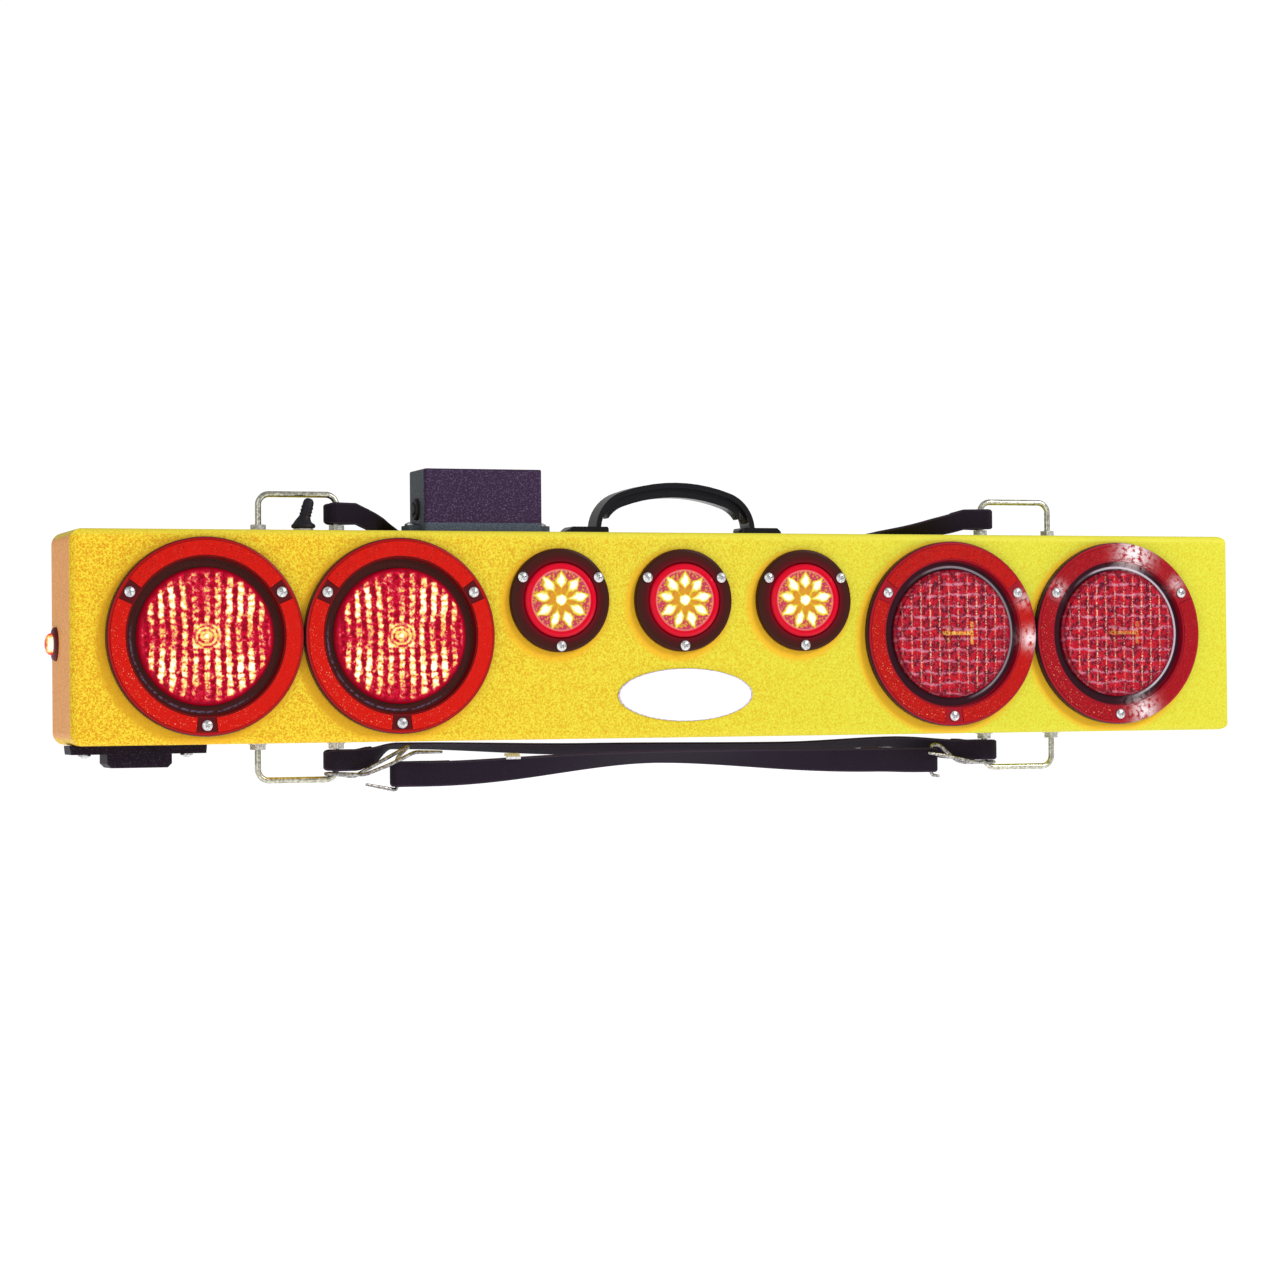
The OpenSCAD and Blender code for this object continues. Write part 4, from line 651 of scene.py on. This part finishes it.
def paint_the_board():
    paint(yellow_powder_coat(), "housing_shell", "back_cover")
    for lamp in STOPS:
        paint(stop_bezel_plastic(lamp), lamp + "_bezel")
        paint(red_reflector(lamp), lamp + "_reflectors")
    for lamp in LIT_STOPS:
        paint(lit_stop_lens(lamp), lamp + "_lens")
    for lamp in UNLIT_STOPS:
        paint(plain_stop_lens(lamp), lamp + "_lens")
    for lamp in TAILS:
        paint(tail_flange_plastic(lamp), lamp + "_flange")
        paint(lit_tail_lens(lamp), lamp + "_lens")
    for side in ("marker_left", "marker_right"):
        paint(lit_marker_lens(side + "_lens"), side + "_lens")
    grommet = moulded_plastic("dark red rubber", (0.10, 0.006, 0.010), 0.5)
    paint(grommet, "marker_left_grommet", "marker_right_grommet")
    paint(moulded_plastic("handle moulding", (0.005, 0.004, 0.006), 0.25, gloss=0.22), "carry_handle")
    black = moulded_plastic("black moulding", (0.010, 0.005, 0.012), 0.5, 0.08, (0.040, 0.030, 0.050))
    paint(black, "lower_block", "toggle_body", "battery_pack")
    paint(black, *[lamp + "_can" for lamp in STOPS + TAILS])
    paint(box_lid_plastic(), "box_lid")
    paint(moulded_plastic("box base plastic", (0.055, 0.070, 0.100), 0.5, fleck=(0.10, 0.13, 0.17)), "box_base")
    paint(moulded_plastic("black rubber", (0.012, 0.010, 0.014), 0.55), "box_plug", "wiring_harness")
    paint(moulded_plastic("board laminate", (0.02, 0.12, 0.05), 0.4), "receiver_board")
    paint(moulded_plastic("keeper clip", (0.62, 0.62, 0.66), 0.4), "strap_keeper")
    paint(bright_wire(), "bail_top_left", "bail_top_right", "bail_bottom_left", "bail_bottom_right",
          "toggle_lever")
    paint(zinc_plate(), "cover_screws", "stop_lamp_screws", "tail_lamp_screws", "bail_nuts", "inner_nuts",
          "mounting_screws", "toggle_nut")
    paint(white_enamel(), "badge")


# Places and sizes of the straps and hooks, in millimetres. A strap is laid through stations, each an
# [x, y, z, twist, layers]; where its end is sewn back on itself it has two layers

LINE_Y = -44.2
TOP_LEGS = (-257.8, 257.8)
LOW_LEGS = (-259.3, 259.3)
STRAP_DROP = 13.3
STRAP_W = 15.8
HOOK_STRAP_W = 18.8
STRAP_T = 1.8
SEWN = 25.0
DOUBLED = 1.9
PINCH = 0.28
LOOP_R = 8.7
WIRE_R = 2.25
HOOK_R = 1.4
HOOK_LANE = -50.2
HOOK_FRONT = -57.8
HOOK_EYE_R = 4.3
HOOK_BARS = (-215.7, 210.9)
HOOK_HEIGHTS = (-100.2, -96.7)
HOLD_Z = -99.225


def ease(t):
    return t * t * (3 - 2 * t)


def lay_through(stations, steps):
    """Stations laid from each of the given ones to the next, eased in and out."""
    way = [stations[0]]
    for start, end, count in zip(stations, stations[1:], steps):
        for step in range(1, count + 1):
            t = step / count
            station = [a + (b - a) * ease(t) for a, b in zip(start, end)]
            station[0] = start[0] + (end[0] - start[0]) * t
            station[4] = start[4] + (end[4] - start[4]) * t
            way.append(station)
    return way


def glide_through(stations, steps):
    """Stations laid along one smooth curve through the given ones."""
    slopes = []
    for i in range(len(stations)):
        before, after = stations[max(i - 1, 0)], stations[min(i + 1, len(stations) - 1)]
        slopes.append([(b - a) / (after[0] - before[0]) for a, b in zip(before, after)])
    way = [list(stations[0])]
    for start, end, slope_a, slope_b, count in zip(stations, stations[1:], slopes, slopes[1:], steps):
        span = end[0] - start[0]
        for step in range(1, count + 1):
            t = step / count
            rise, fall = t * (1 - t) ** 2 * span, -t * t * (1 - t) * span
            way.append([a + (b - a) * ease(t) + rise * sa + fall * sb
                        for a, b, sa, sb in zip(start, end, slope_a, slope_b)])
            way[-1][4] = start[4] + (end[4] - start[4]) * t
    return way


def strap_frame(station, side):
    """Place, outward normal and edge direction of one layer of a strap at a station."""
    x, y, z, twist, layers = station
    turn = math.radians(twist)
    thick = Vector((0, math.cos(turn), math.sin(turn)))
    edge = Vector((0, -math.sin(turn), math.cos(turn)))
    aside = side * (layers - 1) * STRAP_T * 0.47
    return Vector((x, y, z)) + thick * aside, thick * side, edge


def loop_round(axis_x, y, z, radius, leaves, edge, first_side):
    """One turn of webbing round an upright wire, from the layer on first_side to the other."""
    way = []
    for step in range(1, 12):
        turn = math.pi * step / 12
        out = Vector((-leaves * math.sin(turn), first_side * math.cos(turn), 0))
        way.append((Vector((axis_x, y, z)) + out * radius, out, edge))
    return way


def strap_way(left, right, run, radius):
    """A strap's whole way: a sewn end, its loop, the run, the other loop and the other sewn end."""
    (left_x, left_y, left_z), (right_x, right_y, right_z) = left, right
    far = -1 if abs(run[-1][3]) < 90 else 1
    sewn = [station for station in reversed(run) if station[4] > DOUBLED]
    way = [strap_frame(station, 1) for station in sewn if station[0] < 0]
    way += loop_round(left_x, left_y, left_z, radius, 1, Vector((0, 0, 1)), 1)
    way += [strap_frame(station, -1) for station in run]
    way += loop_round(right_x, right_y, right_z, radius, -1, Vector((0, 0, -far)), far)
    for place, out, edge in [strap_frame(station, 1) for station in sewn if station[0] > 0]:
        way.append((place, -out, edge))
    return way


def make_strap(name, node, way, width):
    """Webbing laid along its way: a flat grid, bent into place and given its thickness."""
    rows = 6
    columns = len(way) - 1
    nothing_selected()
    bpy.ops.mesh.primitive_grid_add(x_subdivisions=columns, y_subdivisions=rows, size=1)
    strap = bpy.context.object
    strap.name = name
    lengths = [0.0]
    for (a, _, _), (b, _, _) in zip(way, way[1:]):
        lengths.append(lengths[-1] + (b - a).length)
    mesh = strap.data
    maps = {}
    for vertex in mesh.vertices:
        i = round((vertex.co.x + 0.5) * columns)
        j = round((vertex.co.y + 0.5) * rows)
        place, out, edge = way[i]
        maps[vertex.index] = (lengths[i] / lengths[-1], j / rows)
        narrowed = 1 - PINCH * out.x ** 4
        vertex.co = (place + edge * (j / rows - 0.5) * width * narrowed) * MM
    for loop in mesh.loops:
        mesh.uv_layers.active.data[loop.index].uv = maps[loop.vertex_index]
    thick = strap.modifiers.new("webbing", "SOLIDIFY")
    thick.thickness = STRAP_T * 0.92 * MM
    thick.offset = 0
    bpy.ops.object.modifier_apply(modifier="webbing")
    soft_edge = strap.modifiers.new("edge", "BEVEL")
    soft_edge.width = 0.35 * MM
    soft_edge.segments = 1
    soft_edge.limit_method = "ANGLE"
    bpy.ops.object.modifier_apply(modifier="edge")
    bpy.ops.object.mode_set(mode="EDIT")
    bpy.ops.mesh.select_all(action="SELECT")
    bpy.ops.mesh.normals_make_consistent(inside=False)
    bpy.ops.object.mode_set(mode="OBJECT")
    bpy.ops.object.shade_smooth_by_angle(angle=math.radians(40))
    strap.data.materials.append(black_webbing(name, width, lengths[-1], SEWN + 4))
    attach(strap, "board")
    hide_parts(node)


def make_straps():
    z = TOP_Z + STRAP_DROP
    left, right = TOP_LEGS
    stations = [
        [left + 14.2, LINE_Y, z, 0, 2],
        [left + SEWN, LINE_Y + 3, z - 4.4, 16, 2],
        [-220.5, -31.0, 82.0, 55, 1],
        [-210.5, -18.5, 79.2, 75, 1],
        [-201.3, -10.4, 77.6, 90, 1],
        [165.8, -10.4, 77.6, 90, 1],
        [181.4, -16.0, 79.0, 78, 1],
        [202.0, -27.5, 81.3, 60, 1],
        [220.0, -37.0, 84.0, 34, 1],
        [right - SEWN, LINE_Y + 3, z - 2.9, 14, 2],
        [right - 14.2, LINE_Y, z, 0, 2],
    ]
    run = glide_through(stations, (3, 7, 6, 6, 24, 6, 7, 7, 5, 3))
    way = strap_way((left, LINE_Y, z), (right, LINE_Y, z), run, LOOP_R)
    make_strap("top_webbing", "top_strap", way, STRAP_W)

    z = UNDERSIDE - STRAP_DROP
    left, right = LOW_LEGS
    stations = [
        [left + 14.2, LINE_Y, z, 0, 2],
        [left + SEWN, LINE_Y + 3, z + 2, 25, 2],
        [-214.9, LINE_Y + 5, UNDERSIDE - 3.6, 76, 1],
        [-64.0, LINE_Y + 9, UNDERSIDE - 8, 60, 1],
        [91.4, LINE_Y + 9, UNDERSIDE - 8.6, 66, 1],
        [182.9, LINE_Y + 6, UNDERSIDE - 6.2, 62, 1],
        [right - SEWN, LINE_Y + 2, z + 1, 20, 2],
        [right - 14.2, LINE_Y, z, 0, 2],
    ]
    run = lay_through(stations, (3, 12, 14, 14, 10, 14, 3))
    way = strap_way((left, LINE_Y, z), (right, LINE_Y, z), run, LOOP_R)
    make_strap("bottom_webbing", "bottom_strap", way, STRAP_W)

    left, right = HOOK_BARS
    low, high = HOOK_HEIGHTS
    stations = [
        [left + 9, HOOK_LANE, low, 0, 2],
        [left + SEWN, HOOK_LANE - 1, low, 12, 2],
        [-16.5, HOOK_LANE - 8, UNDERSIDE - 14.2, 62, 1],
        [right - SEWN - 20, HOOK_LANE - 1, high + 1, 16, 2],
        [right - 9, HOOK_LANE, high, 0, 2],
    ]
    run = lay_through(stations, (3, 24, 24, 5))
    way = strap_way((left, HOOK_LANE, low), (right, HOOK_LANE, high), run, HOOK_EYE_R)
    make_strap("hook_webbing", "hook_strap", way, HOOK_STRAP_W)


def rounded_route(points, bend):
    """The points of a bent wire, with each inner corner rounded over the given length."""
    points = [Vector(p) for p in points]
    way = [points[0]]
    for before, corner, after in zip(points, points[1:], points[2:]):
        reach = min(bend, (corner - before).length * 0.45, (after - corner).length * 0.45)
        start = corner + (before - corner).normalized() * reach
        end = corner + (after - corner).normalized() * reach
        for step in range(5):
            t = step / 4
            way.append(start * (1 - t) ** 2 + corner * 2 * t * (1 - t) + end * t ** 2)
    way.append(points[-1])
    return way


def bend_wire(name, node, points, bend, radius, finish):
    """Round wire bent through points, as one closed mesh with round ends."""
    way = rounded_route(points, bend)
    nothing_selected()
    bpy.ops.curve.primitive_nurbs_path_add()
    wire = bpy.context.object
    wire.name = name
    curve = wire.data
    curve.splines.clear()
    spline = curve.splines.new("POLY")
    spline.points.add(len(way) - 1)
    for point, place in zip(spline.points, way):
        point.co = (*(place * MM), 1)
    spline.points[0].radius = spline.points[-1].radius = 0.72
    curve.bevel_depth = radius * MM
    curve.bevel_resolution = 4
    curve.use_fill_caps = True
    bpy.ops.object.convert(target="MESH")
    wire = bpy.context.object
    bpy.ops.object.shade_smooth_by_angle(angle=math.radians(50))
    wire.data.materials.append(finish)
    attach(wire, "board")
    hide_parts(node)


HOOK_REACH = WIRE_R + HOOK_R + 0.6


def hook_bend(leg, leaves):
    """The bend of a hook round a bail's leg."""
    way = []
    for turn in range(-90, 91, 30):
        t = math.radians(turn)
        out = 2.2 + (HOOK_REACH + 1.6) * math.cos(t)
        way.append((leg - leaves * out, LINE_Y + HOOK_REACH * math.sin(t), HOLD_Z))
    return way


def make_hooks(finish):
    leg, bar, z = LOW_LEGS[0], HOOK_BARS[0], HOOK_HEIGHTS[0]
    arm, bend = 11.7, 3.0
    bend_wire("left_wire_hook", "left_hook", [
        (leg + 76, HOOK_FRONT, UNDERSIDE - 8.2), (leg + 55, HOOK_FRONT, UNDERSIDE - 8),
        (leg + 36, HOOK_FRONT, UNDERSIDE - 17), (leg + 20, LINE_Y - HOOK_REACH - 1, UNDERSIDE - 24),
    ] + hook_bend(leg, 1) + [
        (leg + 14, LINE_Y + HOOK_REACH, UNDERSIDE - 25.6), (leg + 36, HOOK_LANE + 1.5, UNDERSIDE - 12.6),
        (bar + 10, HOOK_LANE, UNDERSIDE - 3.1), (bar, HOOK_LANE, z + arm), (bar, HOOK_LANE, z - arm),
        (bar - 24, HOOK_LANE - 3, z - 7),
    ], bend, HOOK_R, finish)
    leg, bar, z = LOW_LEGS[1], HOOK_BARS[1], HOOK_HEIGHTS[1]
    bend_wire("right_wire_hook", "right_hook", [
        (bar - 6, HOOK_FRONT, UNDERSIDE - 15), (bar + 7, HOOK_FRONT, UNDERSIDE - 17),
        (leg - 14, HOOK_FRONT + 3, UNDERSIDE - 22.6), (leg - 5, LINE_Y - HOOK_REACH - 0.4, UNDERSIDE - 23),
    ] + hook_bend(leg, -1) + [
        (leg - 14, LINE_Y + HOOK_REACH, UNDERSIDE - 23.5), (leg - 26, HOOK_LANE + 1.5, UNDERSIDE - 21.5),
        (bar + 7, HOOK_LANE, z + arm), (bar, HOOK_LANE, z + arm), (bar, HOOK_LANE, z - arm),
        (bar + 7, HOOK_LANE, z - arm - 1),
    ], bend, HOOK_R, finish)


# The boot of the switch, drawn upright over the lever's pivot and then leant with the lever

PIVOT = Vector((-285.7, -57.2, 81.7))
LEAN = math.radians(15)


def make_boot(finish):
    """Rings, each a radius and a height, drawn up from the foot over three ribs to a round tip."""
    rings = [
        (7.9, -3.6), (8.7, -2.9), (8.7, -1.5), (8.2, -0.8), (7.5, -0.4),
        (6.4, 0.9), (5.3, 2.4), (4.5, 4.0), (4.0, 5.4),
    ]
    for rib in (6.0, 8.6, 11.2):
        rings += [(3.95, rib - 0.2), (4.35, rib), (4.45, rib + 0.5), (4.35, rib + 1.0), (3.95, rib + 1.2)]
    for turn in range(0, 90, 15):
        t = math.radians(turn)
        rings.append((3.9 * math.cos(t), 15.0 + 3.9 * math.sin(t)))
    nothing_selected()
    radius, height = rings[0]
    foot = PIVOT + Vector((0, 0, height))
    bpy.ops.mesh.primitive_circle_add(vertices=40, radius=radius * MM, location=foot * MM)
    boot = bpy.context.object
    boot.name = "rubber_boot"
    bpy.ops.object.transform_apply(location=True, rotation=True, scale=True)
    bpy.ops.object.mode_set(mode="EDIT")
    bpy.ops.mesh.select_all(action="SELECT")
    for next_radius, next_height in rings[1:]:
        bpy.ops.mesh.extrude_edges_move(TRANSFORM_OT_translate={"value": (0, 0, (next_height - height) * MM)})
        grow = next_radius / radius
        middle = PIVOT + Vector((0, 0, next_height))
        bpy.ops.transform.resize(value=(grow, grow, 1), center_override=middle * MM)
        radius, height = next_radius, next_height
    bpy.ops.mesh.merge(type="CENTER")
    bpy.ops.mesh.select_all(action="SELECT")
    bpy.ops.mesh.normals_make_consistent(inside=False)
    bpy.ops.object.mode_set(mode="OBJECT")
    upright_to, leant_over = -0.4, 3.5
    for vertex in boot.data.vertices:
        offset = vertex.co / MM - PIVOT
        lean = LEAN * min(1.0, max(0.0, (offset.z - upright_to) / leant_over))
        x = offset.x * math.cos(lean) + offset.z * math.sin(lean)
        z = offset.z * math.cos(lean) - offset.x * math.sin(lean)
        vertex.co = (PIVOT + Vector((x, offset.y, z))) * MM
    wall = boot.modifiers.new("wall", "SOLIDIFY")
    wall.thickness = 0.7 * MM
    wall.offset = -1
    bpy.ops.object.modifier_apply(modifier="wall")
    bpy.ops.object.shade_smooth_by_angle(angle=math.radians(45))
    boot.data.materials.append(finish)
    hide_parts("toggle_boot")
    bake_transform(boot)


# Pale studio: a floor that shines as white as the sky behind it, a sky that the camera sees brighter than the
# board does, a soft key light from the upper right and a weak fill from the left

def light_the_studio():
    world = bpy.data.worlds.new("studio")
    world.use_nodes = True
    tree = world.node_tree
    sky = tree.nodes["Background"]
    sky.inputs["Color"].default_value = (1, 1, 1, 1)
    seen = add_node(tree, "ShaderNodeLightPath").outputs["Is Camera Ray"]
    feed(tree, sky.inputs["Strength"], scaled(tree, seen, 0.55, 0.5))
    bpy.context.scene.world = world
    nothing_selected()
    bpy.ops.mesh.primitive_plane_add(size=30, location=(0, 6, -0.62))
    floor = bpy.context.object
    floor.name = "floor"
    bpy.ops.object.transform_apply(location=True, rotation=True, scale=True)
    pale, _, shader = new_finish("pale floor", (0.90, 0.90, 0.90), 0.9)
    shader.inputs["Emission Color"].default_value = (1, 1, 1, 1)
    shader.inputs["Emission Strength"].default_value = 0.66
    floor.data.materials.append(pale)
    aim = Vector((0, -0.04, 0))
    for name, place, size, power in [
        ("key", (1.3, -1.7, 1.2), 0.6, 27),
        ("fill", (-1.6, -1.9, 0.5), 1.6, 8),
    ]:
        bpy.ops.object.light_add(type="AREA", location=place)
        lamp = bpy.context.object
        lamp.name = name
        lamp.data.size = size
        lamp.data.energy = power
        lamp.rotation_mode = "QUATERNION"
        lamp.rotation_quaternion = (aim - Vector(place)).to_track_quat("-Z", "Y")
    view = bpy.context.scene.view_settings
    view.view_transform = "Standard"
    view.look = "None"


place_camera()
paint_the_board()
make_straps()
make_hooks(bright_wire("hook wire", (0.16, 0.15, 0.15), (0.44, 0.42, 0.41)))
make_boot(moulded_plastic("boot rubber", (0.012, 0.010, 0.014), 0.5))
light_the_studio()
